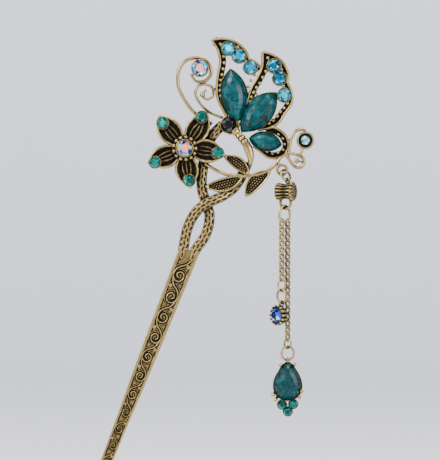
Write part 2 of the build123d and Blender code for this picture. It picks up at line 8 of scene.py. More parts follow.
import bmesh
import bpy
import numpy as np
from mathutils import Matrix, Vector


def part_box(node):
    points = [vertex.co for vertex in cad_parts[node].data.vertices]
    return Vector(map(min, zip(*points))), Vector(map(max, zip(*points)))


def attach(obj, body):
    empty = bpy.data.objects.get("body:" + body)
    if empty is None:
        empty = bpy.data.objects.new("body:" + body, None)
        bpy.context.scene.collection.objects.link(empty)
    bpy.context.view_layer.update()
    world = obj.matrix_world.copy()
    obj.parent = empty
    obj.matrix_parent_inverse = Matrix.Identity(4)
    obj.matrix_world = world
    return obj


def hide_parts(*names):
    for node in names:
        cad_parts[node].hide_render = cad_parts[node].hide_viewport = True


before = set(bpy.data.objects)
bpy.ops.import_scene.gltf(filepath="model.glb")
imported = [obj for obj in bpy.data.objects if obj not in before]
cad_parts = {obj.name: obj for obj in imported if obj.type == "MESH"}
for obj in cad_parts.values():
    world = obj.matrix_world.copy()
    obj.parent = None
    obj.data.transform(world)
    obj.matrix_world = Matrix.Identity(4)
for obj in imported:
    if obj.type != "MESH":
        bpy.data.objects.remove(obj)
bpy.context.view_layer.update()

# ---------------------------------------------------------------------------------------------
# The blade. One cast and tapered brass bar that goes through the hair. Its face is engraved
# with a running scroll between two polished borders, and the ground is left dark.
# ---------------------------------------------------------------------------------------------
BASE = 1.8
LEAN = math.radians(21.45)
BLADE_STATIONS = [0, 7.5, 23.6, 43, 53.7, 68.8, 90, 107.5]
BLADE_WIDTHS = [6.5, 6.4, 5.9, 5.1, 4.4, 3.75, 2.9, 2.0]
SCROLL_END = 84.0
BORDER = 1.0
ENGRAVING_DEPTH = 0.3
TIP_THINNING = 0.25
BLADE_ROWS, BLADE_COLUMNS, BACK_COLUMNS = 1250, 81, 4


class Paint:
    """A value or colour in a material's nodes, ready for arithmetic."""

    def __init__(self, tree, socket=None):
        self.tree = tree
        self.socket = socket

    def node(self, kind, settings=None, out=0, **inputs):
        """Any node: its settings first, then its sockets, and one of its outputs."""
        made = self.tree.nodes.new(kind)
        for key, value in (settings or {}).items():
            if key == "stops":
                ramp = made.color_ramp
                while len(ramp.elements) < len(value):
                    ramp.elements.new(0.5)
                for element, (place, colour) in zip(ramp.elements, value):
                    element.position = place
                    element.color = (*colour, 1.0)
            else:
                setattr(made, key, value)
        for key, value in inputs.items():
            target = made.inputs[int(key[2:])] if key.startswith("in") else made.inputs[key]
            if isinstance(value, Paint):
                self.tree.links.new(value.socket, target)
            else:
                target.default_value = value
        return Paint(self.tree, made.outputs[out])

    def math(self, operation, first, second=0.0, clamp=False):
        settings = {"operation": operation, "use_clamp": clamp}
        return self.node("ShaderNodeMath", settings, in0=first, in1=second)

    def __add__(self, other):
        return self.math("ADD", self, other)

    __radd__ = __add__

    def __sub__(self, other):
        return self.math("SUBTRACT", self, other)

    def __rsub__(self, other):
        return self.math("SUBTRACT", other, self)

    def __mul__(self, other):
        return self.math("MULTIPLY", self, other)

    __rmul__ = __mul__

    def __pow__(self, power):
        return self.math("POWER", self, power)

    def clamped(self):
        return self.math("ADD", self, 0.0, clamp=True)

    def mix(self, first, second):
        """first where this is 0, second where it is 1."""
        return self.node("ShaderNodeMix", {"data_type": "RGBA"}, 2, in0=self, in6=first, in7=second)


def new_finish(name, **constants):
    """A material, its shader and a brush for its nodes."""
    material = bpy.data.materials.new(name)
    material.use_nodes = True
    shader = material.node_tree.nodes["Principled BSDF"]
    for key, value in constants.items():
        shader.inputs[key.replace("_", " ")].default_value = value
    return material, shader, Paint(material.node_tree)


def feed(brush, shader, **values):
    for key, value in values.items():
        brush.tree.links.new(value.socket, shader.inputs[key.replace("_", " ")])


def antique_brass(name, high, low, dark, roughness):
    """Pale brass on high places, brown in the hollows and nearly black on the ground: patina, with painted
    shade from ambient occlusion wherever parts crowd or meet.
    """
    material, shader, brush = new_finish(name, Specular_IOR_Level=0.12)
    place = brush.node("ShaderNodeTexCoord", out="Object")
    ground = brush.node("ShaderNodeAttribute", {"attribute_name": "ground"}, out="Fac")
    # Painted shade: ambient occlusion darkens the brass in hollows, under beads and where parts meet.
    open_air = brush.node("ShaderNodeAmbientOcclusion", {"samples": 6}, out="AO", Distance=0.0014)
    cloud = brush.node("ShaderNodeTexNoise", Vector=place, Scale=520.0, Detail=5.0, Roughness=0.62)
    grain = brush.node("ShaderNodeTexNoise", Vector=place, Scale=3200.0, Detail=3.0)
    hollow = ((1 - open_air) * 2.6 + (cloud - 0.5) * 1.0).clamped()
    wear_and_shade = hollow.mix((*high, 1), (*low, 1))
    # The darkest colour covers the ground's patina plus painted shade from the occlusion mask.
    patina_and_shade = (ground * 1.25 + hollow * hollow * 0.75 + (cloud - 0.5) * 0.4).clamped()
    colour = patina_and_shade.mix(wear_and_shade, (*dark, 1))
    bump = brush.node(
        "ShaderNodeBump", out="Normal", Strength=0.3, Distance=0.00005, Height=grain * 0.5 + cloud)
    feed(brush, shader, Base_Color=colour, Roughness=patina_and_shade * 0.35 + grain * 0.16 + roughness,
         Metallic=1 - patina_and_shade * 0.45, Normal=bump)
    return material


brass = antique_brass("antique_brass", high=(0.295, 0.215, 0.08), low=(0.038, 0.027, 0.011),
                      dark=(0.004, 0.003, 0.002), roughness=0.19)


def smooth(points, step, closed=False):
    """Points one step apart along a smooth curve through the given ones, in any dimension."""
    points = np.array(points, float)
    if closed:
        points = np.vstack([points[-1], points, points[0], points[1]])
    else:
        points = np.vstack([2 * points[0] - points[1], points, 2 * points[-1] - points[-2]])
    dense = []
    for before, start, end, after in zip(points, points[1:], points[2:], points[3:]):
        t = np.linspace(0, 1, 24, endpoint=False)[:, None]
        dense.append(0.5 * (2 * start + (end - before) * t
                            + (2 * before - 5 * start + 4 * end - after) * t ** 2
                            + (3 * start - before - 3 * end + after) * t ** 3))
    if not closed:
        dense.append(points[-2][None])
    else:
        dense.append(points[1][None])
    dense = np.vstack(dense)
    along = np.concatenate([[0], np.cumsum(np.linalg.norm(np.diff(dense, axis=0), axis=1))])
    count = max(int(round(along[-1] / step)), 3)
    wanted = np.linspace(0, along[-1], count + 1)
    return np.stack([np.interp(wanted, along, dense[:, axis]) for axis in range(dense.shape[1])], 1)


class Mould:
    """Vertices and faces gathered for one cast piece, with how dark each vertex's ground is."""

    def __init__(self):
        self.points, self.faces, self.ground, self.tints, self.flat = [], [], [], [], []

    def add(self, points, faces, ground=0.0, tints=None, flat=False):
        start = len(self.points)
        self.points.extend(map(tuple, points))
        ground = np.broadcast_to(ground, (len(points),))
        self.ground.extend(ground.tolist())
        self.faces.extend(tuple(start + index for index in face) for face in faces)
        self.tints.extend(tints if tints is not None else [(1, 1, 1)] * len(faces))
        self.flat.extend([flat] * len(faces))

    def grid(self, points, ground=0.0, wrap_rows=False, wrap_columns=False):
        """A sheet of quads over an array of points shaped rows x columns x 3."""
        rows, columns = points.shape[:2]
        faces = []
        for row in range(rows if wrap_rows else rows - 1):
            for column in range(columns if wrap_columns else columns - 1):
                right, below = (column + 1) % columns, (row + 1) % rows
                faces.append((row * columns + column, row * columns + right,
                              below * columns + right, below * columns + column))
        ground = np.broadcast_to(ground, (rows, columns)).reshape(-1)
        self.add(points.reshape(-1, 3), faces, ground)

    def cast(self, name, body, nodes, finish):
        """Make the Blender object, in metres, and stand it for its CAD nodes.

        Seams are joined and every face is turned outwards, because the painted shade of the hollows
        is looked for on a face's outer side.
        """
        mesh = bpy.data.meshes.new(name)
        mesh.from_pydata([(x / 1000, y / 1000, z / 1000) for x, y, z in self.points], [], self.faces)
        ground = mesh.attributes.new("ground", "FLOAT", "POINT")
        ground.data.foreach_set("value", self.ground)
        if any(self.flat):
            # Each facet's colour with its painted light: painted reflections on the stones, painted shading
            # on the resin.
            tint = mesh.attributes.new("tint", "FLOAT_COLOR", "CORNER")
            for polygon, colour in zip(mesh.polygons, self.tints):
                for corner in polygon.loop_indices:
                    tint.data[corner].color = (*colour, 1.0)
        mesh.polygons.foreach_set("use_smooth", [not flat for flat in self.flat])
        mesh.materials.append(finish)
        mesh.validate()
        shape = bmesh.new()
        shape.from_mesh(mesh)
        bmesh.ops.remove_doubles(shape, verts=shape.verts, dist=1e-6)
        bmesh.ops.recalc_face_normals(shape, faces=shape.faces)
        shape.to_mesh(mesh)
        shape.free()
        piece = bpy.data.objects.new(name, mesh)
        bpy.context.scene.collection.objects.link(piece)
        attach(piece, body)
        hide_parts(*nodes)
        return piece


def face_point(x, z, depth):
    """Stack ornament coordinates into points in space."""
    x, z, depth = np.broadcast_arrays(x, z, depth)
    return np.stack([x, -depth, z], -1)


CURL = [(-5.6, 1.75), (-4.6, 1.5), (-3.4, 0.7), (-2.5, -0.5), (-1.5, -1.35), (-0.2, -1.7),
        (1.1, -1.45), (1.85, -0.45), (1.7, 0.7), (0.75, 1.35), (-0.4, 1.2), (-1.0, 0.4),
        (-0.7, -0.45), (0.15, -0.7), (0.7, -0.1)]
CURL_WIDTH = 5.9
FIRST_CURL = 8.7
CURL_GAP, CURL_SHARE = 2.6, 0.69


def scroll_lines():
    """The engraved plant: one curl after another, turned over each time, as (s, w) lines."""
    lines, balls = [], []
    station, side = FIRST_CURL, 1
    while station < SCROLL_END - 2:
        scale = np.interp(station, BLADE_STATIONS, BLADE_WIDTHS) / CURL_WIDTH
        centre = np.array([station, -0.1 * side])
        lines.append(centre + smooth(CURL, 0.12) * scale * np.array([1, side]))
        balls.append((station - 3.0 * scale, side * 1.5 * scale, 0.5 * scale))
        station += CURL_GAP + CURL_SHARE * CURL_WIDTH * scale
        side = -side
    return lines, balls


def blade_relief(stations, across, widths):
    """Height of the engraving above its grooves, and how dark each place is left."""
    lines, balls = scroll_lines()
    distance = np.full(stations.shape, 9.0)
    for line in lines:
        low, high = line[:, 0].min() - 1.5, line[:, 0].max() + 1.5
        rows = (stations[:, 0] > low) & (stations[:, 0] < high)
        gap = np.hypot(stations[rows][..., None] - line[:, 0], across[rows][..., None] - line[:, 1])
        distance[rows] = np.minimum(distance[rows], gap.min(-1))
    scale = widths / CURL_WIDTH
    vine = np.clip(1.5 - distance / (0.19 * scale), 0, 1)
    echo = np.clip(1.3 - np.abs(distance / scale - 0.72) / 0.14, 0, 1) * 0.7
    for s, w, radius in balls:
        away = np.hypot(stations - s, across - w) / radius
        vine = np.where(away < 1.5, np.clip(1.5 - away * 0.8, 0, 1) ** 0.5 * (away < 1.15), vine)
        echo = np.where(away < 1.5, 0, echo)
    inside = widths / 2 - BORDER * scale - np.abs(across)
    border = np.clip(-inside / 0.1, 0, 1)
    ends = np.clip((stations - SCROLL_END) / 1.5, 0, 1)
    plain = 0.45 * np.clip((distance / scale - 0.95) / 0.1, 0, 1) * np.clip((inside - 0.25) / 0.1, 0, 1)
    raised = np.maximum.reduce([vine, echo, plain, border, ends])
    return raised, np.clip(0.95 - 1.25 * raised, 0, 1)


def blade_piece():
    """The blade's face as a fine sheet, its flat back, and a rounded tip."""
    length = BLADE_STATIONS[-1]
    stations = np.linspace(0.2, length, BLADE_ROWS)
    even = np.linspace(-1, 1, BLADE_COLUMNS)
    spread = 0.5 * np.sin(even * math.pi / 2) + 0.5 * even
    widths = np.interp(stations, BLADE_STATIONS, BLADE_WIDTHS)
    s = np.repeat(stations[:, None], BLADE_COLUMNS, 1)
    full = np.repeat(widths[:, None], BLADE_COLUMNS, 1)
    w = spread[None] * full / 2
    raised, ground = blade_relief(s, w, full)
    edge = np.clip(1 - (full / 2 - np.abs(w)) / 0.4, 0, 1)
    top = BASE - ENGRAVING_DEPTH * (1 - raised) - 0.5 * edge ** 2.5
    top -= TIP_THINNING * np.clip(s / length, 0, 1)
    mould = Mould()
    along_x, along_z = -math.sin(LEAN), -math.cos(LEAN)
    front = face_point(s * along_x - w * along_z, s * along_z + w * along_x, top)
    side = full / 2
    back_w = np.stack([side[:, 0], side[:, 0] - 0.35, -side[:, 0] + 0.35, -side[:, 0]], 1)
    back_depth = np.broadcast_to(np.array([0.45, 0.0, 0.0, 0.45]), back_w.shape)
    back_s = np.repeat(stations[:, None], BACK_COLUMNS, 1)
    back = face_point(back_s * along_x - back_w * along_z, back_s * along_z + back_w * along_x, back_depth)
    skin = np.concatenate([front, back], 1)
    mould.grid(skin[::-1], np.concatenate([ground, back_w * 0], 1)[::-1], wrap_columns=True)
    tip = widths[-1] / 2
    middle = skin[-1].mean(0)
    cap = [skin[-1]]
    for turn in np.linspace(0, math.pi / 2, 7)[1:]:
        ring = middle + (skin[-1] - middle) * max(math.cos(turn), 0.02)
        cap.append(ring + np.array([along_x, 0, along_z]) * tip * math.sin(turn))
    cap = np.stack(cap)
    mould.grid(cap[::-1], 0.0, wrap_columns=True)
    mould.add(cap[-1], [tuple(range(len(cap[-1])))])
    mould.add(skin[0], [tuple(range(BLADE_COLUMNS + BACK_COLUMNS))])
    return mould.cast("engraved_blade", "hairpin", ["shaft_blade"], brass)


blade_piece()

# ---------------------------------------------------------------------------------------------
# The two branches. The blade splits into two round-topped brass stems that cross once, cast
# with three rows of short cuts along them like bark.
# ---------------------------------------------------------------------------------------------
BRANCH_WIDTH = 3.3
BRANCH_STEP = 0.14
FOOT_LENGTH = 3.5
CUT_ROWS = (-0.95, 0.0, 0.95)
CUT_PITCH, CUT_HALF_WIDTH, CUT_DEPTH = 1.9, 0.31, 0.34
BARK_PATINA = 0.14
BRANCHES = {
    "rear_branch": [(0.1, -4.2), (1.0, -2.0), (2.2, 0.5), (3.8, 2.6), (5.1, 5.0), (5.9, 8.0), (6.0, 11.0),
                    (5.0, 14.5), (3.9, 17.7), (3.6, 21.0), (4.0, 25.0), (4.6, 29.0), (5.8, 33.0),
                    (7.8, 36.2), (10.4, 38.6)],
    "front_branch": [(-2.9, -3.6), (-2.4, -1.3), (-1.9, 1.0), (-1.5, 3.4), (-0.8, 6.3), (0.4, 9.2),
                     (2.4, 12.0), (4.8, 13.9), (7.5, 15.2), (10.3, 16.5), (13.0, 18.4), (15.0, 20.8),
                     (16.4, 23.4), (17.8, 26.8)],
}
CROSSING = [(-6, 0), (-2.2, 0.0), (-0.8, 0.35), (2.0, 1.95), (5.3, 2.15), (8.6, 1.95), (12.2, 0.3),
            (15.0, 0), (22, 0)]


def frames_along(path):
    """Unit directions along a flat path and to its left."""
    along = np.gradient(path, axis=0)
    along /= np.linalg.norm(along, axis=1)[:, None]
    return along, np.stack([-along[:, 1], along[:, 0]], 1)


def bark_cuts(length_at, across):
    """Short cuts in three staggered rows: 1 inside a cut."""
    cut = np.zeros(np.broadcast(length_at, across).shape)
    for row, offset in enumerate(CUT_ROWS):
        phase = (length_at / CUT_PITCH + row * 0.5) % 1.0
        inside = np.clip(1 - np.abs(phase - 0.5) / 0.4, 0, 1) ** 0.4
        wander = 0.12 * np.sin(length_at * 2.1 + row)
        line = np.clip(1 - np.abs(across - offset - wander) / CUT_HALF_WIDTH, 0, 1)
        cut = np.maximum(cut, inside * line)
    return cut


def branch_piece(name, points, lift):
    """A flat-backed round stem with its cuts; lift is the height of its back along the path."""
    path = smooth(points, BRANCH_STEP)
    along, left = frames_along(path)
    travelled = np.arange(len(path)) * BRANCH_STEP
    turn = np.linspace(0, math.pi, 29)
    foot = np.interp(travelled, [0, FOOT_LENGTH], [0.25, 1])[:, None]
    across = np.cos(turn)[None] * BRANCH_WIDTH / 2 * foot
    height = 0.35 + (BASE - 0.25) * np.sin(turn) ** 0.6
    cut = bark_cuts(travelled[:, None], across)
    depth = height[None] - CUT_DEPTH * cut + lift(path)[:, None]
    x = path[:, :1] + left[:, :1] * across
    z = path[:, 1:] + left[:, 1:] * across
    front = face_point(x, z, depth)
    under = across[:, ::-1][:, 2:-2:6]
    back = face_point(path[:, :1] + left[:, :1] * under, path[:, 1:] + left[:, 1:] * under,
                      lift(path)[:, None] + 0 * under)
    mould = Mould()
    skin = np.concatenate([front, back], 1)
    # Painted shade: the stem's sides are darkened as they turn away from the front, on top of the patina in
    # the cuts.
    painted_flank_shade = np.clip(0.85 - np.sin(turn), 0, 1)[None] * 0.9
    dark = np.concatenate([np.clip(cut * 1.9 + BARK_PATINA + painted_flank_shade, 0, 1), 0 * under], 1)
    mould.grid(skin, dark, wrap_columns=True)
    mould.add(skin[0], [tuple(range(skin.shape[1]))[::-1]])
    mould.add(skin[-1], [tuple(range(skin.shape[1]))])
    return mould.cast(f"{name}_bark", "hairpin", [name], brass)


branch_piece("rear_branch", BRANCHES["rear_branch"], lambda path: 0 * path[:, 0] + 0.1)
branch_piece("front_branch", BRANCHES["front_branch"],
             lambda path: np.maximum(np.interp(path[:, 0], *zip(*smooth(CROSSING, 0.4))), 0.05))

# ---------------------------------------------------------------------------------------------
# The wings. Open cast frames: a bright rounded rim, and inside it a low dark ledge that
# carries a row of small beads. The shared rim between the upper wings belongs to the right one.
# ---------------------------------------------------------------------------------------------
WING_BACK = 0.6
BACK_STEP = 0.02  # each bar's back lies this much deeper than the last, so no two share a plane
WING_STONE_R = 2.0
RIM_SECTION = [  # inwards from the rim line, depth, ground
    (-0.46, WING_BACK, 0), (-0.46, 1.75, 0), (-0.38, 2.1, 0), (-0.18, 2.36, 0), (0.05, 2.4, 0),
    (0.26, 2.25, 0.1), (0.38, 1.95, 0.6), (0.42, 1.7, 1), (1.6, 1.62, 1), (1.74, 1.7, 0.8),
    (1.82, 1.6, 0.6), (1.82, WING_BACK, 0)]
WIRE_SECTION = [(-0.5, 0.0, 0), (-0.5, 0.4, 0), (-0.4, 0.72, 0), (-0.2, 0.94, 0), (0, 1.0, 0),
                (0.2, 0.94, 0), (0.4, 0.72, 0), (0.5, 0.4, 0), (0.5, 0.0, 0)]


def moulding(mould, points, section, step=0.22, width=1.0, base=0.0, taper=(1.0, 1.0)):
    """Sweep a section (offset to the left, depth, ground) along a flat smooth line."""
    path = smooth(points, step)
    along, left = frames_along(path)
    section = np.array(section, float)
    scale = np.interp(np.linspace(0, 1, len(path)), [0, 0.12, 0.88, 1], [taper[0], 1, 1, taper[1]])
    offset = section[None, :, 0] * width * scale[:, None]
    depth = base + section[None, :, 1] * np.ones((len(path), 1))
    skin = face_point(path[:, :1] + left[:, :1] * offset, path[:, 1:] + left[:, 1:] * offset, depth)
    mould.grid(skin, np.broadcast_to(section[:, 2], skin.shape[:2]), wrap_columns=True)
    mould.add(skin[0], [tuple(range(skin.shape[1]))[::-1]])
    mould.add(skin[-1], [tuple(range(skin.shape[1]))])


def bead(mould, centre, radius, depth, squash=0.9, rings=7, sides=14):
    """A cast ball standing on the surface."""
    turn = np.linspace(0, math.pi, rings)[:, None]
    around = np.linspace(0, 2 * math.pi, sides, endpoint=False)[None]
    skin = face_point(centre[0] + radius * np.sin(turn) * np.cos(around),
                      centre[1] + radius * np.sin(turn) * np.sin(around),
                      depth + radius * squash * np.cos(turn) + 0 * around)
    mould.grid(skin, 0.0, wrap_columns=True)


def turned(mould, centre, profile, sides=48):
    """Turn a profile of (radius, depth, ground) about the depth axis."""
    profile = np.array(profile, float)
    around = np.linspace(0, 2 * math.pi, sides, endpoint=False)[None]
    radius = profile[:, :1]
    skin = face_point(centre[0] + radius * np.cos(around), centre[1] + radius * np.sin(around),
                      profile[:, 1:2] + 0 * around)
    mould.grid(skin, np.repeat(profile[:, 2:], sides, 1), wrap_columns=True)


def stone_cup(mould, centre, radius, back, seat, lip=0.42, rise=0.5):
    """A bright collar round a stone, closed behind."""
    outer = radius + lip
    turned(mould, centre, [
        (0.01, back, 0), (outer - 0.15, back, 0), (outer, back + 0.15, 0), (outer, seat + rise * 0.5, 0),
        (outer - 0.1, seat + rise * 0.9, 0), (outer - lip * 0.5, seat + rise, 0),
        (radius + 0.06, seat + rise * 0.85, 0), (radius + 0.02, seat, 1), (0.01, seat, 1)])


def lens_edge(start, end, width, margin=0.0, count=40):
    """Points round two equal arcs that meet at start and end, grown by margin."""
    start, end = np.array(start, float), np.array(end, float)
    length = np.linalg.norm(end - start)
    along = (end - start) / length
    left = np.array([-along[1], along[0]])
    half, bulge = length / 2 + margin, width / 2 + margin
    radius = (half ** 2 + bulge ** 2) / (2 * bulge)
    reach = math.asin(min(half / radius, 1.0))
    turn = np.linspace(-reach, reach, count // 2, endpoint=False)
    arc = np.stack([radius * np.sin(turn), radius * np.cos(turn) - (radius - bulge)], 1)
    outline = np.vstack([arc, -arc])
    return (start + end) / 2 + outline[:, :1] * along + outline[:, 1:] * left


def rim_round(mould, outline, inner, rim, field, back):
    """A plate whose edge is a raised bright rim round a lower dark field."""
    centre = outline.mean(0)
    loops = [(outline, back, 0), (outline, rim - 0.25, 0), (outline * 0.985 + inner * 0.015, rim - 0.06, 0),
             (outline * 0.6 + inner * 0.4, rim, 0), (outline * 0.15 + inner * 0.85, rim - 0.12, 0),
             (inner, field, 0.8), (centre + (inner - centre) * 0.9, field, 1),
             (centre + (inner - centre) * 0.02, field, 1)]
    skin = np.stack([face_point(loop[:, 0], loop[:, 1], depth) for loop, depth, dark in loops])
    ground = np.array([dark for _, _, dark in loops], float)[:, None]
    mould.grid(skin, np.repeat(ground, len(outline), 1), wrap_columns=True)
    mould.add(skin[0], [tuple(range(len(outline)))])


NAVETTES = {
    "navette_left": ((12.5, 55.5), (14.8, 39.6), 8.0),
    "navette_right": ((16.1, 36.6), (26.5, 48.2), 8.0),
    "navette_lower": ((18.6, 34.3), (28.1, 32.3), 5.4),
}


def navette_setting(mould, name):
    start, end, width = NAVETTES[name]
    rim_round(mould, lens_edge(start, end, width, 0.45), lens_edge(start, end, width, 0.03),
              BASE + 0.35, BASE, WING_BACK - 2 * BACK_STEP)


right_wing = Mould()
for layer, edge in enumerate((
    [(21.0, 36.9), (24.6, 37.6), (27.6, 39.3), (29.2, 41.8), (31.3, 44.9), (31.5, 48.4), (30.1, 51.5)],
    [(30.0, 51.3), (30.3, 54.6), (28.5, 57.9), (25.4, 60.1), (22.4, 61.0)],
    [(22.5, 61.0), (22.3, 56.3), (20.9, 53.0), (19.0, 49.7), (17.9, 46.2), (17.3, 44.4)],
)):
    moulding(right_wing, edge, RIM_SECTION, base=BACK_STEP * layer)
moulding(right_wing, [(19.7, 49.2), (20.4, 48.6), (20.8, 47.5), (21.0, 46.2)], WIRE_SECTION,
         width=0.55, base=1.2)
navette_setting(right_wing, "navette_right")
RIGHT_STONES = [(26.0, 56.6), (27.7, 52.8), (29.2, 47.6)]
RIGHT_BEADS = [(24.1, 59.1), (28.3, 55.6), (23.5, 54.9), (22.5, 53.1), (21.6, 51.3), (20.6, 49.9),
               (19.65, 48.4), (19.0, 47.0), (18.5, 45.6), (28.9, 50.5), (30.2, 45.1), (29.1, 43.7),
               (28.0, 42.5), (27.0, 41.1), (25.8, 39.8), (24.5, 38.9)]
left_wing = Mould()
for layer, edge in enumerate((
    [(22.0, 55.9), (20.3, 57.7), (18.4, 58.8)],
    [(18.3, 58.7), (17.2, 61.3), (14.1, 64.0), (10.5, 65.0), (6.9, 64.7)],
    [(6.8, 64.8), (8.7, 61.5), (9.4, 58.0), (8.7, 53.8), (8.3, 49.7), (8.8, 46.0), (11.4, 41.0)],
)):
    moulding(left_wing, edge, RIM_SECTION, base=BACK_STEP * (3 + layer))
navette_setting(left_wing, "navette_left")
LEFT_STONES = [(11.9, 62.1), (15.2, 59.7), (18.7, 56.2)]
LEFT_BEADS = [(9.4, 63.4), (10.4, 59.6), (10.6, 57.6), (10.25, 55.7), (9.95, 53.9), (9.6, 52.2), (9.35, 50.6),
              (9.3, 49.0), (9.5, 47.4), (14.8, 62.4), (17.3, 58.0), (20.1, 56.6)]
SHARED_BEADS = [(19.9, 53.9), (18.8, 52.1), (18.0, 50.2)]
lower_wing = Mould()
moulding(lower_wing, [(19.6, 32.0), (21.5, 30.4), (24.5, 28.3), (28.5, 28.7), (30.4, 31.4), (29.6, 35.0),
                      (26.3, 37.5), (23.4, 37.2)], RIM_SECTION, base=BACK_STEP * 6)
navette_setting(lower_wing, "navette_lower")
LOWER_BEADS = [(27.4, 35.5), (28.8, 34.2), (29.3, 32.4), (28.9, 30.7), (27.2, 29.8), (25.5, 29.5),
               (23.8, 30.1), (22.2, 31.4)]
for mould, beads, radius in ((right_wing, RIGHT_BEADS, 0.64), (left_wing, LEFT_BEADS, 0.64),
                            (right_wing, SHARED_BEADS, 0.56), (lower_wing, LOWER_BEADS, 0.52)):
    for centre in beads:
        bead(mould, centre, radius, 1.85)
for mould, stones in ((right_wing, RIGHT_STONES), (left_wing, LEFT_STONES)):
    for centre in stones:
        stone_cup(mould, centre, WING_STONE_R, WING_BACK - BACK_STEP, BASE)
right_wing.cast("right_wing_casting", "hairpin", ["right_wing_frame"], brass)
left_wing.cast("left_wing_casting", "hairpin", ["left_wing_frame"], brass)
lower_wing.cast("lower_wing_casting", "hairpin", ["lower_wing_frame"], brass)

# ---------------------------------------------------------------------------------------------
# The cut stones. Foil-backed glass with a flat table and rows of facets, glued in their cups:
# aqua on the wings. Each facet is painted its own shade of the foil's colour, a painted reflection.
# ---------------------------------------------------------------------------------------------
# Each palette is a stone's colour in lighter and darker facets, painted reflections of the foil; RAINBOW is
# the rainbow coating's painted sheen.
AQUA = [(0.0, 0.22, 0.32), (0.0, 0.34, 0.46), (0.0, 0.09, 0.16), (0.08, 0.62, 0.72), (0.0, 0.28, 0.40),
        (0.0, 0.13, 0.22), (0.01, 0.42, 0.55), (0.0, 0.03, 0.06)]
EMERALD = [(0.0, 0.10, 0.085), (0.0, 0.19, 0.155), (0.0, 0.045, 0.04), (0.01, 0.34, 0.27), (0.0, 0.13, 0.115),
           (0.0, 0.24, 0.20)]
RAINBOW = [(0.01, 0.03, 0.25), (0.03, 0.30, 0.75), (0.30, 0.75, 0.62), (0.01, 0.06, 0.48), (0.62, 0.62, 0.32),
           (0.08, 0.45, 0.80), (0.01, 0.01, 0.08), (0.75, 0.30, 0.22)]
BLACK = [(0.006, 0.006, 0.008), (0.03, 0.03, 0.035), (0.012, 0.012, 0.015), (0.07, 0.075, 0.085)]


def crystal(name, roughness, painted_glow):
    """Foil-backed glass: each facet's own colour with its painted reflection, deeper in places, and a little
    painted glow from emission for light thrown back.
    """
    material, shader, brush = new_finish(
        name, Roughness=roughness, Metallic=0.3, IOR=1.45, Coat_Weight=0.2, Coat_Roughness=0.05,
        Specular_IOR_Level=0.2, Emission_Strength=painted_glow)
    tint = brush.node("ShaderNodeAttribute", {"attribute_name": "tint"}, out="Color")
    place = brush.node("ShaderNodeTexCoord", out="Object")
    fire = brush.node("ShaderNodeTexNoise", Vector=place, Scale=900.0, Detail=2.0)
    lively = (fire * 1.6 - 0.45).clamped()
    deep = brush.node("ShaderNodeMix", {"data_type": "RGBA", "blend_type": "MULTIPLY"}, 2,
                      in0=0.75, in6=tint, in7=tint)
    colour = lively.mix(deep, tint)
    feed(brush, shader, Base_Color=colour, Emission_Color=colour)
    return material


def facet_colour_and_reflection(palette, random):
    """One of the palette's colours, a little darker or lighter: a facet's painted reflection."""
    colour = np.array(palette[random.integers(len(palette))])
    return tuple(np.clip(colour * random.uniform(0.45, 1.1), 0, 1))


TABLE, STARS = 0.52, 0.75  # how far out each corner stands, as a share of the radius
STARS_HEIGHT, GIRDLE_TOP, GIRDLE_DIP = 0.8, 0.42, 0.36  # shares of the height


def round_cut(mould, centre, radius, seat, height, palette, seed, table=None, sides=8):
    """A chaton seen from its table: an eight-sided table, a ring of stars and kites, a girdle."""
    random = np.random.default_rng(seed)
    around = np.linspace(0, 2 * math.pi, sides, endpoint=False) + 0.2
    between = around + math.pi / sides
    layers = [
        (TABLE * radius, around, height), (STARS * radius, between, STARS_HEIGHT * height),
        (radius, around, GIRDLE_TOP * height), (radius, between, GIRDLE_DIP * height),
        (radius, around, 0.0), (radius, between, 0.0)]
    points = np.concatenate([face_point(centre[0] + r * np.cos(a), centre[1] + r * np.sin(a), seat + h)
                             for r, a, h in layers])
    faces = [tuple(range(sides))]
    tints = [table or facet_colour_and_reflection(palette, random)]
    for i in range(sides):
        j, before = (i + 1) % sides, (i - 1) % sides
        ring = [layer * sides for layer in range(6)]
        faces += [
            (ring[0] + i, ring[1] + i, ring[0] + j),
            (ring[0] + i, ring[1] + before, ring[2] + i, ring[1] + i),
            (ring[1] + i, ring[2] + i, ring[3] + i),
            (ring[1] + i, ring[3] + i, ring[2] + j),
            (ring[2] + i, ring[4] + i, ring[5] + i, ring[3] + i),
            (ring[3] + i, ring[5] + i, ring[4] + j, ring[2] + j)]
        tints += [facet_colour_and_reflection(palette, random) for _ in range(6)]
    mould.add(points, faces, tints=tints, flat=True)


# Emission paints a glow on the stones, strongest on the rainbow ones, for light the foil throws back; the
# black stone has none.
aqua_crystal = crystal("aqua_crystal", 0.12, 0.1)
emerald_crystal = crystal("emerald_crystal", 0.12, 0.1)
rainbow_crystal = crystal("rainbow_crystal", 0.1, 0.28)
black_crystal = crystal("black_crystal", 0.05, 0.0)


def lone_stone(name, body_name, node, centre, radius, seat, height, palette, finish, seed,
               table=None):
    """A cut stone as its own piece."""
    gem = Mould()
    round_cut(gem, centre, radius, seat, height, palette, seed, table)
    gem.cast(name, body_name, [node], finish)


for number, centre in enumerate(LEFT_STONES + RIGHT_STONES, 1):
    lone_stone(f"wing_stone_{number}", "hairpin", f"wing_rhinestone_{number}", centre, WING_STONE_R, BASE,
               1.35, AQUA, aqua_crystal, number)

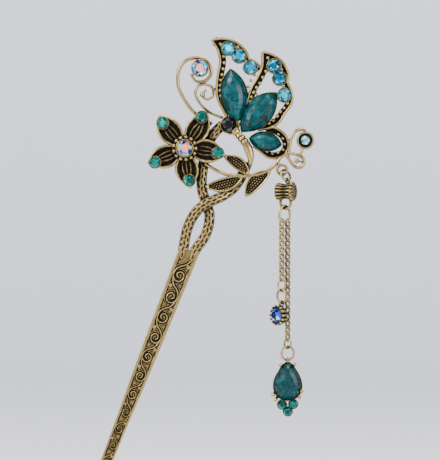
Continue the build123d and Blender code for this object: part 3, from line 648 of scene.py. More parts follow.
# ---------------------------------------------------------------------------------------------
# The navettes. Pointed oval stones of glossy teal resin, clouded like marble, with long
# facets that fall from a narrow ridge to the setting.
# ---------------------------------------------------------------------------------------------
NAVETTE_GIRDLE, NAVETTE_HEIGHT = 0.7, 2.6
resin, shader, brush = new_finish(
    "teal_resin", Coat_Weight=0.05, Coat_Roughness=0.1, IOR=1.45, Specular_IOR_Level=0.16)
place = brush.node("ShaderNodeTexCoord", out="Object")
cloud = brush.node("ShaderNodeTexNoise", Vector=place, Scale=260.0, Detail=6.0, Roughness=0.6, Distortion=1.4)
vein = brush.node("ShaderNodeTexNoise", Vector=place, Scale=620.0, Detail=4.0, Distortion=2.0)
# Each facet's painted shading, read from the mesh, darkens or lightens the marble below.
tint = brush.node("ShaderNodeAttribute", {"attribute_name": "tint"}, out="Color")
marble = brush.node("ShaderNodeValToRGB", {"stops": [
    (0.30, (0.0, 0.005, 0.006)), (0.44, (0.0, 0.017, 0.020)), (0.57, (0.0, 0.044, 0.047)),
    (0.72, (0.0, 0.10, 0.105))]}, Fac=cloud * 0.7 + vein * 0.32)
shaded = brush.node("ShaderNodeMix", {"data_type": "RGBA", "blend_type": "MULTIPLY"}, 2,
                    in0=1.0, in6=marble, in7=tint)
feed(brush, shader, Base_Color=shaded, Roughness=vein * 0.2 + 0.2)


def long_facets(mould, outline, seat, girdle, height, spine, seed, tone=1.0):
    """Facets from the outline up to the outline's shadow on the ridge, toned lighter or darker: each facet's
    shade is painted facet shading.
    """
    random = np.random.default_rng(seed)
    count = len(outline)
    top = spine(outline)
    middle = outline * 0.52 + top * 0.48
    middle = (middle + np.roll(middle, -1, 0)) / 2
    rings = [(outline, seat), (outline, seat + girdle), (middle, seat + girdle + 0.72 * (height - girdle)),
             (top, seat + height)]
    points = np.concatenate([face_point(ring[:, 0], ring[:, 1], depth) for ring, depth in rings])
    faces, tints = [], []
    for i in range(count):
        j = (i + 1) % count
        low, wall, mid, ridge = (k * count for k in range(4))
        faces += [(low + i, low + j, wall + j, wall + i), (wall + i, wall + j, mid + i),
                  (wall + j, mid + j, mid + i), (mid + i, mid + j, ridge + j),
                  (mid + i, ridge + j, ridge + i)]
        # Painted shading: each facet a shade lighter or darker, and the flat top a little lighter.
        for _ in range(5):
            shade = tone * random.uniform(0.5, 1.4)
            tints.append((shade, shade, shade))
    faces.append(tuple(3 * count + i for i in range(count)))
    tints.append((1.1 * tone, 1.1 * tone, 1.1 * tone))
    mould.add(points, faces, tints=tints, flat=True)


for seed, (name, (start, end, width)) in enumerate(NAVETTES.items(), 20):
    gem = Mould()
    start, end = np.array(start), np.array(end)
    middle = (start + end) / 2
    axis = (end - start) / np.linalg.norm(end - start)

    def ridge(outline, middle=middle, axis=axis):
        along = ((outline - middle) @ axis)[:, None] * axis
        return middle + along * 0.62 + (outline - middle - along) * 0.34

    long_facets(gem, lens_edge(start, end, width, count=16), BASE, NAVETTE_GIRDLE, NAVETTE_HEIGHT,
                ridge, seed)
    gem.cast(f"{name}_stone", "hairpin", [name], resin)

# ---------------------------------------------------------------------------------------------
# The butterfly's body. A cast head cup with a black cut stone, three rings for the thorax and
# a long smooth abdomen that curls under the wings and runs out to a point.
# ---------------------------------------------------------------------------------------------
HEAD = (12.0, 38.4)
HEAD_STONE_R = 2.3
SPINE = [(13.6, 37.0), (14.8, 35.6), (16.2, 34.0), (17.4, 32.4), (18.4, 30.0), (18.8, 27.8), (18.3, 25.8)]


def bulb(mould, points, radius_at, centre_depth, flatten=0.85, step=0.12, sides=28):
    """A round-sectioned bar along a flat line, whose radius follows radius_at(0..1)."""
    path = smooth(points, step)
    along, left = frames_along(path)
    share = np.linspace(0, 1, len(path))
    radius = np.array([radius_at(s) for s in share])[:, None]
    around = np.linspace(0, 2 * math.pi, sides, endpoint=False)[None]
    offset = radius * np.cos(around)
    skin = face_point(path[:, :1] + left[:, :1] * offset, path[:, 1:] + left[:, 1:] * offset,
                      centre_depth + flatten * radius * np.sin(around))
    mould.grid(skin, np.clip((1.05 - radius) / 0.35, 0, 1) * (share < 0.44)[:, None], wrap_columns=True)
    mould.add(skin[0], [tuple(range(sides))[::-1]])
    mould.add(skin[-1], [tuple(range(sides))])


def body_radius(share):
    """Thorax rings first, then the abdomen swelling and running out to a point."""
    if share < 0.13:
        return 1.45 - 3.0 * abs(share - 0.06)
    if share < 0.42:
        ring = ((share - 0.13) / 0.29 * 3) % 1
        return 0.7 + 0.75 * math.sqrt(min(ring * 1.2, 1)) * (1 if ring < 0.85 else (1 - ring) / 0.15)
    tail = (share - 0.42) / 0.58
    swell = 1.35 * math.sqrt(max(math.sin(math.pi * (0.18 + 0.82 * tail)), 0)) * (1 - 0.35 * tail)
    return max(swell * 1.15, 0.12)


insect = Mould()
bulb(insect, SPINE, body_radius, BASE + 0.55)
bulb(insect, SPINE, lambda share: 1.15 - 0.6 * abs(share - 0.4), 1.1, flatten=0.62)
stone_cup(insect, HEAD, HEAD_STONE_R, 0.3, BASE, lip=0.45, rise=0.55)
moulding(insect, [(14.7, 39.9), (15.1, 38.6), (14.6, 37.2), (13.2, 35.9), (11.9, 35.6)], WIRE_SECTION,
         width=0.8, base=1.5)
insect.cast("butterfly_body_casting", "hairpin", ["butterfly_body"], brass)
lone_stone("head_cut_stone", "hairpin", "head_stone", HEAD, HEAD_STONE_R, BASE, 1.9, BLACK,
           black_crystal, 31)

# ---------------------------------------------------------------------------------------------
# The flower. Five pointed petals cast in one plate: each has a raised rim, three veins and a
# dark hollow, and an emerald stone near its point. A beaded cup in the middle holds a large stone.
# ---------------------------------------------------------------------------------------------
FLOWER = (-1.6, 31.1)
PETALS = [(129, 13.1), (58, 13.3), (-9, 12.9), (-82, 12.5), (-159, 12.4)]
PETAL_HALF_WIDTH = 3.75
PETAL_FRONT = 3.4
PETAL_STONES = [(131, 10.4), (61.5, 11.1), (-8, 10.3), (-82, 10.0), (-155, 10.2)]
PETAL_STONE_R = 1.7
PETAL_ROWS, PETAL_COLUMNS = 74, 53
VEINS = (-0.36, 0.0, 0.36)
CUP_BEADS, CUP_BEAD_RING = 13, 3.4


def petal_half_width(share):
    """Half width of a petal from its root to its point."""
    return PETAL_HALF_WIDTH * np.interp(
        share, [0, 0.12, 0.25, 0.42, 0.55, 0.68, 0.8, 0.9, 0.96, 1.0],
        [0.30, 0.42, 0.68, 0.96, 1.0, 0.9, 0.66, 0.38, 0.2, 0.02])


def petal(mould, direction, length, lean):
    """One petal: direction in degrees, and lean curls its sides one way or the other."""
    share = np.linspace(0, 1, PETAL_ROWS)[:, None]
    across = np.sin(np.linspace(-1, 1, PETAL_COLUMNS) * math.pi / 2)[None]
    half = petal_half_width(share)
    curl = lean * np.sin(share * math.pi) * 0.5
    away = (1 - np.abs(across)) * half
    away = np.minimum(away, (1 - share) * length * 0.55 + 0 * across)
    rim = np.exp(-((away - 0.42) / 0.34) ** 2)
    distance_out = share * length
    veins = np.zeros_like(away)
    for offset in VEINS:
        line = offset * half * np.sin(np.clip(share * 1.25, 0, 1) * math.pi) ** 0.6
        veins = np.maximum(veins, np.exp(-((across * half - line) / 0.2) ** 2))
    veins = veins * np.clip((0.8 - share) / 0.08, 0, 1)
    hollow = np.clip((away - 0.6) / 0.7, 0, 1)
    raised = np.maximum(rim, veins * 0.8)
    depth = (PETAL_FRONT - 0.75 * hollow * (1 - raised) + 0.32 * rim
             + 0.25 * np.clip(share - 0.5, 0, 1))
    dark = np.clip(hollow * (1.2 - 1.5 * raised), 0, 1)
    near_centre = np.clip((4.6 - distance_out) / 1.5, 0, 1)
    dark = np.clip(dark + near_centre * 0.5 * (1 - raised), 0, 1)
    dark = dark * 0.86
    edge = np.clip(1 - away / 0.25, 0, 1)
    depth = depth - 0.5 * edge ** 2
    turn = math.radians(direction)
    out = distance_out + 0 * across
    side = across * half + curl
    x = FLOWER[0] + out * math.cos(turn) - side * math.sin(turn)
    z = FLOWER[1] + out * math.sin(turn) + side * math.cos(turn)
    front = face_point(x, z, depth)
    ends = [face_point(x[:, k], z[:, k], BASE) for k in (-1, 0)]
    skin = np.concatenate([front, np.stack(ends, 1)], 1)
    mould.grid(skin[::-1], np.concatenate([dark, np.zeros((PETAL_ROWS, 2))], 1)[::-1],
              wrap_columns=True)


flower = Mould()
for number, (direction, length) in enumerate(PETALS, 1):
    petal(flower, direction, length, 0.5 if number % 2 else -0.5)
    bearing, distance = PETAL_STONES[number - 1]
    bearing = math.radians(bearing)
    centre = (FLOWER[0] + distance * math.cos(bearing), FLOWER[1] + distance * math.sin(bearing))
    stone_cup(flower, centre, PETAL_STONE_R, BASE + 0.1, PETAL_FRONT, lip=0.34, rise=0.45)
    lone_stone(f"petal_stone_{number}", "hairpin", f"petal_rhinestone_{number}", centre, PETAL_STONE_R,
               PETAL_FRONT, 1.3, EMERALD, emerald_crystal, 40 + number)
flower.cast("flower_casting", "hairpin", ["flower_petals"], brass)

centre_cup = Mould()
turned(centre_cup, FLOWER, [
    (0.01, BASE - 0.06, 0), (3.3, BASE - 0.06, 0), (3.5, PETAL_FRONT, 0.5), (3.95, PETAL_FRONT + 0.25, 0.3),
    (2.95, PETAL_FRONT + 0.45, 1), (2.75, PETAL_FRONT + 1.3, 0), (2.5, PETAL_FRONT + 1.4, 0),
    (2.38, PETAL_FRONT + 1.2, 0), (2.36, PETAL_FRONT + 0.8, 1), (0.01, PETAL_FRONT + 0.8, 1)])
for step in range(CUP_BEADS):
    turn = 2 * math.pi * step / CUP_BEADS
    spot = (FLOWER[0] + CUP_BEAD_RING * math.cos(turn), FLOWER[1] + CUP_BEAD_RING * math.sin(turn))
    bead(centre_cup, spot, 0.6, PETAL_FRONT + 0.65)
centre_cup.cast("flower_beaded_cup", "hairpin", ["flower_cup"], brass)
LARGE_STONE_R = 2.35
# The flower stone's salmon table is the rainbow coating's painted sheen.
SALMON = (0.85, 0.30, 0.20)
lone_stone("flower_stone", "hairpin", "flower_rhinestone", FLOWER, LARGE_STONE_R, PETAL_FRONT + 0.8, 1.7,
           RAINBOW, rainbow_crystal, 52, SALMON)

# ---------------------------------------------------------------------------------------------
# The antennae. Two cast wires that rise from beside the head and end in curls; the larger
# curl holds a rainbow-coated stone in a cup.
# ---------------------------------------------------------------------------------------------
ANTENNA_BACK = 0.8
ANTENNA_STONE = (3.1, 56.0)
antenna = Mould()
moulding(antenna, [(6.8, 38.6), (4.2, 40.6), (1.3, 42.3), (-1.6, 46.0), (-3.6, 50.5), (-3.4, 55.5),
                   (-0.9, 58.5), (2.8, 59.2), (5.8, 57.4), (6.5, 54.2), (4.6, 52.0), (2.0, 51.9),
                   (0.6, 53.4)],
         WIRE_SECTION, width=1.1, base=ANTENNA_BACK, taper=(1, 0.7))
bead(antenna, (0.6, 53.7), 0.6, ANTENNA_BACK + 0.4)
stone_cup(antenna, ANTENNA_STONE, LARGE_STONE_R, ANTENNA_BACK, BASE, lip=0.42, rise=0.5)
antenna.cast("large_antenna_wire", "hairpin", ["large_antenna"], brass)
# The antenna stone's rosy table is the rainbow coating's painted sheen.
lone_stone("antenna_stone", "hairpin", "antenna_rhinestone", ANTENNA_STONE, LARGE_STONE_R, BASE, 1.65,
           RAINBOW, rainbow_crystal, 61, (0.80, 0.36, 0.26))
antenna = Mould()
moulding(antenna, [(10.2, 40.6), (7.5, 41.6), (5.2, 43.0), (3.0, 45.2), (1.7, 48.0), (2.4, 50.3), (4.6, 51.0),
                   (6.8, 50.0), (7.1, 47.6), (5.4, 46.3), (3.8, 47.2)],
         WIRE_SECTION, width=0.9, base=ANTENNA_BACK, taper=(1, 0.8))
bead(antenna, (3.9, 47.8), 0.85, ANTENNA_BACK + 0.5)
bead(antenna, (4.7, 49.0), 0.5, ANTENNA_BACK + 0.4)
moulding(antenna, [(7.0, 49.3), (7.8, 49.5), (8.6, 49.5)], WIRE_SECTION, width=0.8, base=ANTENNA_BACK)
antenna.cast("small_antenna_wire", "hairpin", ["small_antenna"], brass)

# ---------------------------------------------------------------------------------------------
# The vine. A cast twig that runs from under the flower across the branches to the lower wing,
# with three leaves, a knotted loop, a scroll with a small stone, and the eyelet for the dangle.
# ---------------------------------------------------------------------------------------------
SCROLL_STONE = (35.7, 33.6)
# ICE: pale blue facets, lighter and darker as painted reflections.
ICE = [(0.10, 0.45, 0.55), (0.25, 0.65, 0.72), (0.03, 0.25, 0.33), (0.55, 0.85, 0.88)]
EYELET = (28.5, 24.5)
vine = Mould()
moulding(vine, [(4.6, 26.5), (8, 24.4), (11, 23.2), (14, 22.8), (17, 22.6), (20, 22.9), (22.5, 23.5),
                (24.7, 24.6), (26.4, 26.2), (28.0, 28.2), (30.2, 29.7)],
         WIRE_SECTION, width=1.1, base=BASE, taper=(1, 0.8))
vine.cast("vine_twig", "hairpin", ["vine_stem"], brass)
knot = Mould()
moulding(knot, [(29.9, 29.0), (31.5, 29.5), (33.3, 29.1), (34.9, 28.2), (35.3, 26.7), (34.7, 25.5),
                (33.6, 25.1), (32.3, 25.6), (31.3, 26.7), (30.5, 28.0), (29.6, 29.4)],
         WIRE_SECTION, width=1.0, base=BASE)
moulding(knot, [(33.3, 27.3), (34.4, 27.0), (35.1, 26.6)], WIRE_SECTION, width=0.6, base=BASE - 0.2)
bead(knot, (33.0, 27.3), 0.8, BASE + 0.5)
knot.cast("knotted_loop", "hairpin", ["knot_loop"], brass)
scroll = Mould()
moulding(scroll, [(30.6, 30.0), (30.9, 32.0), (31.3, 34.2), (32.4, 36.2), (34.2, 37.0), (36.0, 36.7)],
         WIRE_SECTION, width=1.0, base=BASE, taper=(1, 0.6))
moulding(scroll, [(34.9, 31.2), (34.5, 30.2), (34.1, 28.9)], WIRE_SECTION, width=0.9, base=BASE)
turned(scroll, SCROLL_STONE, [
    (0.01, BASE, 0), (2.6, BASE, 0), (2.8, BASE + 0.3, 0), (2.7, BASE + 0.85, 0), (2.45, BASE + 1.0, 0),
    (2.15, BASE + 0.9, 0.1), (2.0, BASE + 0.5, 1), (1.55, BASE + 0.45, 1), (1.45, BASE + 0.7, 0.4),
    (0.01, BASE + 0.7, 1)])
scroll.cast("stone_scroll_casting", "hairpin", ["stone_scroll"], brass)
lone_stone("scroll_stone", "hairpin", "scroll_rhinestone", SCROLL_STONE, 1.4, BASE + 0.7, 1.2,
           ICE, aqua_crystal, 72)


WIRE_PATINA = 0.14


def ring_round(mould, centre, normal, radius, wire, squash=1.0, sides=14, steps=56):
    """A round wire ring about a direction in space."""
    normal = Vector(normal).normalized()
    first = normal.orthogonal().normalized()
    second = normal.cross(first)
    around = np.linspace(0, 2 * math.pi, steps, endpoint=False)[:, None, None]
    inside = np.linspace(0, 2 * math.pi, sides, endpoint=False)[None, :, None]
    spoke = np.array(first) * np.cos(around) + np.array(second) * np.sin(around)
    skin = (np.array(centre) + spoke * (radius + wire / 2 * np.cos(inside))
            + np.array(normal) * wire / 2 * squash * np.sin(inside))
    mould.grid(skin, WIRE_PATINA, wrap_rows=True, wrap_columns=True)


eyelet = Mould()
ring_round(eyelet, (EYELET[0], -2.3, EYELET[1]), (0, 1, 0), 1.5, 0.9, squash=0.85)
moulding(eyelet, [(27.5, 25.6), (27.35, 26.4), (27.4, 27.2)], WIRE_SECTION, width=0.9, base=1.9)
eyelet.cast("hanging_eyelet_ring", "hairpin", ["hanging_eyelet"], brass)

LEAVES = {  # tip, stalk, width, bend
    "upper_leaf": ((10.4, 28.9), (18.4, 22.9), 4.0, 0.8),
    "lower_leaf": ((4.7, 19.2), (16.4, 22.4), 4.4, -0.9),
    "outer_leaf": ((17.1, 16.1), (25.0, 24.3), 4.7, 1.0),
}
LEAF_ROWS, LEAF_COLUMNS = 130, 81
GRAIN_PITCH, GRAIN_RADIUS = 0.86, 0.3


def leaf_piece(name, tip, stalk, width, bend):
    """A pointed leaf: bright rim, dark ground, rows of raised grains."""
    tip, stalk = np.array(tip), np.array(stalk)
    length = np.linalg.norm(stalk - tip)
    along = (stalk - tip) / length
    left = np.array([-along[1], along[0]])
    share = np.linspace(0, 1, LEAF_ROWS)[:, None]
    across = np.sin(np.linspace(-1, 1, LEAF_COLUMNS) * math.pi / 2)[None]
    half = width / 2 * np.sin(math.pi * np.clip(share, 0.0, 1)) ** 0.72 + 0.05
    middle = bend * np.sin(math.pi * share)
    side = across * half + middle
    away = np.minimum((1 - np.abs(across)) * half, np.minimum(share, 1 - share) * length * 0.5 + 0.05)
    rim = np.exp(-((away - 0.3) / 0.3) ** 2)
    inside = np.clip((away - 0.5) / 0.25, 0, 1)
    row_pitch = GRAIN_PITCH * 0.87
    out = share * length + 0 * across
    row = np.round(side / row_pitch)
    grain_s = (out / GRAIN_PITCH + 0.5 * (row % 2)) % 1 - 0.5
    grain_w = side - row * row_pitch
    grain = np.clip(1.25 - np.hypot(grain_s * GRAIN_PITCH, grain_w) / GRAIN_RADIUS, 0, 1) ** 0.5 * inside
    edge = np.clip(1 - away / 0.2, 0, 1)
    depth = BASE + 0.75 + 0.28 * rim - 0.42 * inside * (1 - rim) + 0.26 * grain - 0.45 * edge ** 2
    dark = np.clip(inside * (1.5 - 1.3 * grain - rim), 0, 1)
    x = tip[0] + along[0] * out + left[0] * side
    z = tip[1] + along[1] * out + left[1] * side
    front = face_point(x, z, depth)
    ends = [face_point(x[:, k], z[:, k], BASE) for k in (-1, 0)]
    mould = Mould()
    skin = np.concatenate([front, np.stack(ends, 1)], 1)
    mould.grid(skin[::-1], np.concatenate([dark, np.zeros((LEAF_ROWS, 2))], 1)[::-1], wrap_columns=True)
    return mould.cast(f"{name}_casting", "hairpin", [name], brass)


for name, (tip, stalk, width, bend) in LEAVES.items():
    leaf_piece(name, tip, stalk, width, bend)

# ---------------------------------------------------------------------------------------------
# The dangle's rings. Bent brass wire, closed by hand: a jump ring through the eyelet, the flat
# bottomed oval that carries both chains, and the rings at the chains' ends.
# ---------------------------------------------------------------------------------------------


def middle_of(node):
    """The middle of a CAD node's box, in millimetres."""
    low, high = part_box(node)
    return np.array((low + high) / 2) * 1000


def ring_piece(name, node, body_name, normal, radius, wire):
    """A lone ring as its own piece, where its CAD node is."""
    ring = Mould()
    ring_round(ring, middle_of(node), normal, radius, wire)
    return ring.cast(name, body_name, [node], brass)


def turned_normal(degrees):
    """The normal of an upright plane that has been turned this far from X towards +Y."""
    return (math.sin(math.radians(degrees)), -math.cos(math.radians(degrees)), 0)


slope, roll = math.radians(53), math.radians(50)  # the jump ring hangs aslant and rolled over
down_right = Vector((math.cos(slope), 0, -math.sin(slope)))
rolled = Vector((-down_right.z * math.cos(roll), math.sin(roll), down_right.x * math.cos(roll)))
ring_piece("jump_ring", "top_ring", "top_ring", down_right.cross(rolled), 1.8, 0.78)
ring_piece("daisy_jump_ring", "daisy_ring", "daisy_ring", turned_normal(-50), 2.1, 0.72)
ring_piece("long_end_ring", "long_end_link", "long_end_link", turned_normal(-45), 1.45, 0.52)
ring_piece("pendant_jump_ring", "pendant_ring", "pendant_ring", turned_normal(25), 2.1, 0.72)


def wire_round(mould, path, wire, sides=12, ground=0.0):
    """A closed round wire through points in space."""
    path = np.array(path, float)
    along = np.roll(path, -1, 0) - np.roll(path, 1, 0)
    along /= np.linalg.norm(along, axis=1)[:, None]
    centre = path.mean(0)
    spoke = path - centre
    spoke -= (spoke * along).sum(1)[:, None] * along
    spoke /= np.linalg.norm(spoke, axis=1)[:, None]
    other = np.cross(along, spoke)
    inside = np.linspace(0, 2 * math.pi, sides, endpoint=False)[None, :, None]
    skin = path[:, None] + wire / 2 * (spoke[:, None] * np.cos(inside) + other[:, None] * np.sin(inside))
    mould.grid(skin, ground, wrap_rows=True, wrap_columns=True)


def oval(width, height, power=2.6, count=64):
    """A rounded link outline (across, up) about its middle."""
    turn = np.linspace(0, 2 * math.pi, count, endpoint=False)
    cos, sin = np.cos(turn), np.sin(turn)
    return np.stack([width / 2 * np.sign(cos) * np.abs(cos) ** (2 / power),
                     height / 2 * np.sign(sin) * np.abs(sin) ** (2 / power)], 1)


def standing(outline, centre, degrees):
    """Stand an outline up at centre, turned by degrees about Z, one value or one for each point."""
    turn = np.radians(degrees)
    return np.stack([centre[0] + outline[:, 0] * np.cos(turn), centre[1] + outline[:, 0] * np.sin(turn),
                     centre[2] + outline[:, 1]], 1)


FORK_TURN, FORK_WIRE = 30, 0.82
fork = Mould()
low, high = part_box("fork_ring")
fork_height = (high.z - low.z) * 1000 - 0.8  # the wire's own thickness is left out
outline = oval(3.7, fork_height, 2.5)
outline[:, 0] *= 1 + 0.16 * np.clip(-outline[:, 1] / fork_height * 2, -1, 1)
wire_round(fork, standing(outline, middle_of("fork_ring"), FORK_TURN), FORK_WIRE)
fork.cast("oval_fork_ring", "fork_ring", ["fork_ring"], brass)
end_link = Mould()
wire_round(end_link, standing(oval(2.2, 3.8, 2.3), middle_of("short_end_link"), 0), 0.52)
end_link.cast("short_chain_end_link", "short_end_link", ["short_end_link"], brass)

# ---------------------------------------------------------------------------------------------
# The two chains. Fine curb chain: each oval link of round wire is twisted a quarter turn, so
# that the links lie close and all show the same slanting face.
# ---------------------------------------------------------------------------------------------
LINK_PITCH = 2.06
LINK_TWIST = 88.0
LINK_WIRE, LINK_WIDTH = 0.68, 1.1
LINKS_IN_A_PIECE = 3
CHAIN_PATINA = 0.17


def chain_piece(name, node):
    """Three curb links in a row, about the middle of their CAD node."""
    middle = middle_of(node)
    mould = Mould()
    for index in range(LINKS_IN_A_PIECE):
        outline = oval(LINK_WIDTH, LINK_PITCH + 0.62, 2.2, 48)
        twist = LINK_TWIST / 2 * np.clip(outline[:, 1] / (LINK_PITCH / 2 + 0.2), -1, 1)
        centre = middle + np.array([0, 0, (1 - index) * LINK_PITCH])
        wire_round(mould, standing(outline, centre, twist + 5), LINK_WIRE, sides=10, ground=CHAIN_PATINA)
    return mould.cast(name, node, [node], brass)


for number in range(1, 4):
    chain_piece(f"short_curb_links_{number}", f"short_chain_{number}")
for number in range(1, 7):
    chain_piece(f"long_curb_links_{number}", f"long_chain_{number}")

# ---------------------------------------------------------------------------------------------
# The fluted charms. Cast brass drums with lobes all round and deep dark grooves: one lies
# across the dangle's top, and one faces outwards with beads round a stone.
# ---------------------------------------------------------------------------------------------
POINTS_IN_A_LOBE = 14
CONNECTOR_LOBES, CONNECTOR_BEADS = 15, 13
DAISY_LOBES, DAISY_BEADS = 14, 14


def fluted(mould, centre, axis, profile, lobes, depth_of_groove, across=(0, 0, 1), sharp=0.55):
    """A lobed drum: profile is (along the axis, radius, groove share, ground)."""
    axis = np.array(Vector(axis).normalized())
    up = np.array(Vector(across).normalized())
    side = np.cross(axis, up)
    profile = np.array(profile, float)
    around = np.linspace(0, 2 * math.pi, lobes * POINTS_IN_A_LOBE, endpoint=False)[None]
    lobe = np.abs(np.sin(around * lobes / 2)) ** sharp
    radius = profile[:, 1:2] - depth_of_groove * profile[:, 2:3] * (1 - lobe)
    skin = (np.array(centre)
            + profile[:, 0][:, None, None] * axis
            + (radius * np.cos(around))[..., None] * up + (radius * np.sin(around))[..., None] * side)
    dark = np.clip(profile[:, 3:4] + profile[:, 2:3] * (1.12 - lobe * 1.05) * 2.3, 0, 1)
    mould.grid(skin[::-1], dark[::-1], wrap_columns=True)


CONNECTOR = (29.6, -2.7, 17.8)
connector = Mould()
axis = (math.cos(math.radians(22)), -math.sin(math.radians(22)), 0)
half = 3.05
fluted(connector, CONNECTOR, axis, [
    (-half + 0.35, 0.05, 0, 0.6), (-half + 0.3, 1.2, 0, 0.6), (-half, 1.75, 0.5, 0),
    (-half + 0.15, 2.45, 1, 0), (-half + 0.8, 2.75, 1, 0), (-1.2, 2.6, 1, 0), (-0.6, 2.35, 1, 0.3),
    (0.0, 2.3, 1, 0.4), (0.6, 2.35, 1, 0.3), (1.2, 2.6, 1, 0), (half - 0.7, 2.85, 1, 0),
    (half - 0.15, 2.6, 1, 0), (half, 2.0, 0.6, 0), (half - 0.3, 1.3, 0, 0.6),
    (half - 0.35, 0.05, 0, 0.6)], CONNECTOR_LOBES, 0.55)


def bead_circle(mould, centre, axis, count, ring, radius):
    """Beads spaced evenly round a level axis."""
    side = np.cross(axis, (0, 0, 1))
    for step in range(count):
        turn = 2 * math.pi * step / count
        spot = centre + ring * (side * math.cos(turn) + np.array([0, 0, 1]) * math.sin(turn))
        bead(mould, (spot[0], spot[2]), radius, -spot[1], squash=1)


along_axis = np.array(Vector(axis).normalized())
bead_circle(connector, np.array(CONNECTOR) + along_axis * 2.35, along_axis, CONNECTOR_BEADS, 2.62, 0.5)
low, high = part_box("fluted_connector")
LOOP_RADIUS, LOOP_WIRE = 0.8, 0.56
LOOP_DROP = LOOP_RADIUS + LOOP_WIRE / 2
hang = np.array([30.2, -2.9, high.z * 1000 - LOOP_DROP])
ring_round(connector, hang, turned_normal(-46.4), LOOP_RADIUS, LOOP_WIRE)
ring_round(connector, (CONNECTOR[0], CONNECTOR[1], 14.35), turned_normal(-35), 1.9, 0.9)
connector.cast("fluted_connector_casting", "connector", ["fluted_connector"], brass)

stone_middle = middle_of("daisy_rhinestone")
facing = np.array([-math.sin(math.radians(48)), -math.cos(math.radians(48)), 0])
centre = stone_middle - facing * (1.5 - 0.4 + 0.8)
daisy = Mould()
fluted(daisy, centre, facing, [
    (-1.45, 0.05, 0, 0.5), (-1.45, 1.6, 0, 0.3), (-1.2, 2.2, 1, 0), (-0.6, 2.75, 1, 0), (0.4, 3.05, 1, 0),
    (1.1, 3.15, 1, 0), (1.45, 2.95, 1, 0), (1.5, 2.5, 0.6, 0.8), (1.45, 2.4, 0, 1), (1.55, 2.34, 0, 0),
    (1.6, 2.27, 0, 0), (1.1, 2.26, 0, 1), (1.1, 0.05, 0, 1)], DAISY_LOBES, 0.5)
bead_circle(daisy, centre + facing * 1.5, facing, DAISY_BEADS, 2.9, 0.46)
low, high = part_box("daisy_charm")
hang = np.array([*middle_of("daisy_ring")[:2], high.z * 1000 - LOOP_DROP])
ring_round(daisy, hang, turned_normal(42), LOOP_RADIUS, LOOP_WIRE)
daisy.cast("daisy_drum", "daisy_charm", ["daisy_charm"], brass)


def cut_facing(mould, middle, facing, radius, height, palette, seed):
    """The same round cut, turned to face a direction."""
    gem = Mould()
    round_cut(gem, (0, 0), radius, 0, height, palette, seed)
    side = np.cross(facing, (0, 0, 1))
    points = [middle + side * -x + np.array([0, 0, 1]) * z + facing * -y for x, y, z in gem.points]
    mould.add(points, gem.faces, tints=gem.tints, flat=True)


gem = Mould()
# BLUES: the daisy stone's facets in blues, painted reflections of its rainbow coating.
BLUES = [(0.01, 0.03, 0.25), (0.02, 0.06, 0.5), (0.08, 0.10, 0.6), (0.20, 0.75, 0.7), (0.005, 0.01, 0.09)]
cut_facing(gem, centre + facing * 1.1, facing, 2.25, 1.7, BLUES, 93)
gem.cast("daisy_stone", "daisy_charm", ["daisy_rhinestone"], rainbow_crystal)

# ---------------------------------------------------------------------------------------------
# The pendant. A cast plate with a bail, six rounded claws over a teal resin drop, and three
# small emerald stones in cups below it.
# ---------------------------------------------------------------------------------------------
PEAR_R, PEAR_HEIGHT = 4.2, 11.3
PEAR_TONE = 0.72
PENDANT_STONE_R = 1.35
PENDANT_STONES = [(-1.75, -12.9), (1.75, -12.7), (0.05, -15.0)]
CLAWS = [(-2.2, -0.6), (2.1, -0.3), (-4.6, -9.7), (4.3, -8.7), (-3.7, -11.3), (3.6, -10.5)]
low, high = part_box("pear_stone")
pear_top = ((low.x + high.x) * 500, high.z * 1000)
pendant_seat = -high.y * 1000
pendant_back = pendant_seat - 0.8


def drop_edge(radius, height, top, count=56):
    """A pear outline, point up at top, drawn round from its point."""
    turn = np.linspace(0, 2 * math.pi, count, endpoint=False)
    down = height / 2 * (1 - np.cos(turn))
    share = down / height
    wide = radius * np.sin(turn) * np.clip(0.52 + 0.92 * share - 0.36 * share ** 2, 0, 1.2)
    peak = np.abs(wide).max()
    return np.stack([top[0] + wide * radius / peak, top[1] - down], 1)


setting = Mould()
outer = drop_edge(PEAR_R + 0.45, PEAR_HEIGHT + 1.0, (pear_top[0], pear_top[1] + 0.5))
inner = drop_edge(PEAR_R + 0.02, PEAR_HEIGHT + 0.05, pear_top)
rim_round(setting, outer, inner, pendant_seat + 0.35, pendant_seat, pendant_back)
for number, (x, z) in enumerate(PENDANT_STONES, 1):
    centre = (pear_top[0] + x, pear_top[1] + z)
    stone_cup(setting, centre, PENDANT_STONE_R, pendant_back, pendant_seat, lip=0.28, rise=0.4)
    lone_stone(f"pendant_stone_{number}", "pendant", f"pendant_rhinestone_{number}", centre,
               PENDANT_STONE_R, pendant_seat, 1.25, EMERALD, emerald_crystal, 80 + number)
for x, z in CLAWS:
    spot = (pear_top[0] + x, pear_top[1] + z)
    arm = (np.array([pear_top[0], pear_top[1] - 5.5]) - spot) * (0.26 if abs(z) > 5 else 0.12)
    moulding(setting, [spot, spot + arm * 0.5, spot + arm], WIRE_SECTION, width=0.9, base=pendant_back)
    turned(setting, spot, [
        (0.01, pendant_back, 0), (0.5, pendant_back, 0), (0.5, pendant_seat + 0.6, 0),
        (0.62, pendant_seat + 1.0, 0), (0.5, pendant_seat + 1.35, 0), (0.01, pendant_seat + 1.5, 0)],
        sides=16)
bail = middle_of("pendant_ring") - np.array([0, 0, 2.1 - 0.35 - 0.28 - 0.03])
ring_round(setting, bail - np.array([0, 0, LOOP_RADIUS]), (1, 0, 0), LOOP_RADIUS, LOOP_WIRE)
setting.cast("pendant_plate", "pendant", ["pendant_setting"], brass)

gem = Mould()


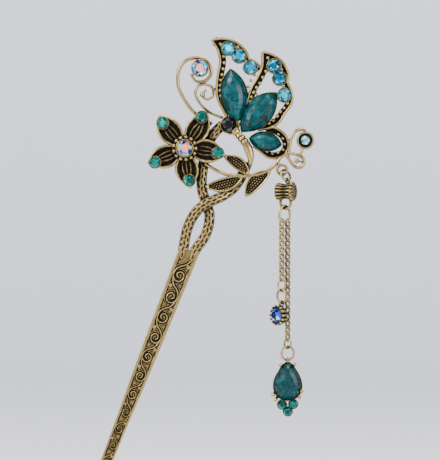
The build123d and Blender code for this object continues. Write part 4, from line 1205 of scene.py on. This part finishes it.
def drop_ridge(outline):
    """The drop's table: the same outline, drawn in round its widest part."""
    heart = np.array([pear_top[0], pear_top[1] - PEAR_HEIGHT * 0.58])
    return heart + (outline - heart) * np.array([0.5, 0.56])


long_facets(gem, drop_edge(PEAR_R, PEAR_HEIGHT, pear_top, count=18), pendant_seat, 0.6, 2.4, drop_ridge, 88,
            tone=PEAR_TONE)
gem.cast("pear_drop", "pendant", ["pear_stone"], resin)

# ---------------------------------------------------------------------------------------------
# The studio. A round pale room whose floor sweeps up into its wall, soft lights on both sides
# and above, and a long lens looking straight at the ornament's face.
# ---------------------------------------------------------------------------------------------
FLOOR = -0.106
ROOM_RADIUS = 1.75
SWEEP = 0.35
ROOM_HEIGHT = 1.8
SIDES = 96
PALE = (0.80, 0.81, 0.86, 1)
paper, shader, brush = new_finish("studio_paper", Roughness=0.9, Base_Color=PALE, Emission_Color=PALE,
                                  Emission_Strength=0.4)
profile = [(0.01, FLOOR), (ROOM_RADIUS - SWEEP, FLOOR)]
profile += [(ROOM_RADIUS - SWEEP * (1 - math.sin(turn)), FLOOR + SWEEP * (1 - math.cos(turn)))
            for turn in np.linspace(0.1, math.pi / 2, 14)]
profile += [(ROOM_RADIUS, ROOM_HEIGHT)]
verts = [(radius * math.cos(2 * math.pi * k / SIDES), radius * math.sin(2 * math.pi * k / SIDES), height)
         for radius, height in profile for k in range(SIDES)]
faces = [(row * SIDES + k, row * SIDES + (k + 1) % SIDES, (row + 1) * SIDES + (k + 1) % SIDES,
          (row + 1) * SIDES + k) for row in range(len(profile) - 1) for k in range(SIDES)]
mesh = bpy.data.meshes.new("backdrop")
mesh.from_pydata(verts, [], faces)
mesh.polygons.foreach_set("use_smooth", [True] * len(mesh.polygons))
mesh.materials.append(paper)
backdrop = bpy.data.objects.new("backdrop", mesh)
bpy.context.scene.collection.objects.link(backdrop)

world = bpy.data.worlds.new("studio_air")
world.use_nodes = True
air = world.node_tree.nodes["Background"].inputs
air["Color"].default_value = (0.86, 0.90, 1.0, 1)
air["Strength"].default_value = 0.12
bpy.context.scene.world = world


def soft_light(name, place, aim, size, power, colour):
    """A rectangular window of light at a place, turned towards its aim."""
    lamp = bpy.data.lights.new(name, "AREA")
    lamp.shape = "RECTANGLE"
    lamp.size, lamp.size_y = size
    lamp.energy = power
    lamp.color = colour
    holder = bpy.data.objects.new(name, lamp)
    holder.location = place
    holder.rotation_euler = (Vector(aim) - Vector(place)).to_track_quat("-Z", "Y").to_euler()
    bpy.context.scene.collection.objects.link(holder)


CENTRE = (0.0093, 0.0, 0.0059)
soft_light("window_left", (-0.65, -0.42, 0.5), CENTRE, (0.3, 0.42), 18.0, (1.0, 0.97, 0.92))
soft_light("fill_right", (0.6, -0.6, 0.15), CENTRE, (0.3, 0.4), 7.0, (0.88, 0.93, 1.0))
soft_light("strip_above", (0.05, -0.15, 0.6), CENTRE, (0.5, 0.12), 6.0, (1.0, 0.98, 0.95))

DISTANCE = 0.9
FRAME_HEIGHT = 0.1426
SENSOR = 24.0
camera = bpy.data.cameras.new("front_camera")
camera.sensor_fit = "VERTICAL"
camera.sensor_height = SENSOR
camera.lens = SENSOR * DISTANCE / FRAME_HEIGHT
camera.clip_end = 10.0
holder = bpy.data.objects.new("front_camera", camera)
holder.location = (CENTRE[0], -DISTANCE, CENTRE[2])
holder.rotation_euler = (math.pi / 2, 0, 0)
bpy.context.scene.collection.objects.link(holder)
bpy.context.scene.camera = holder
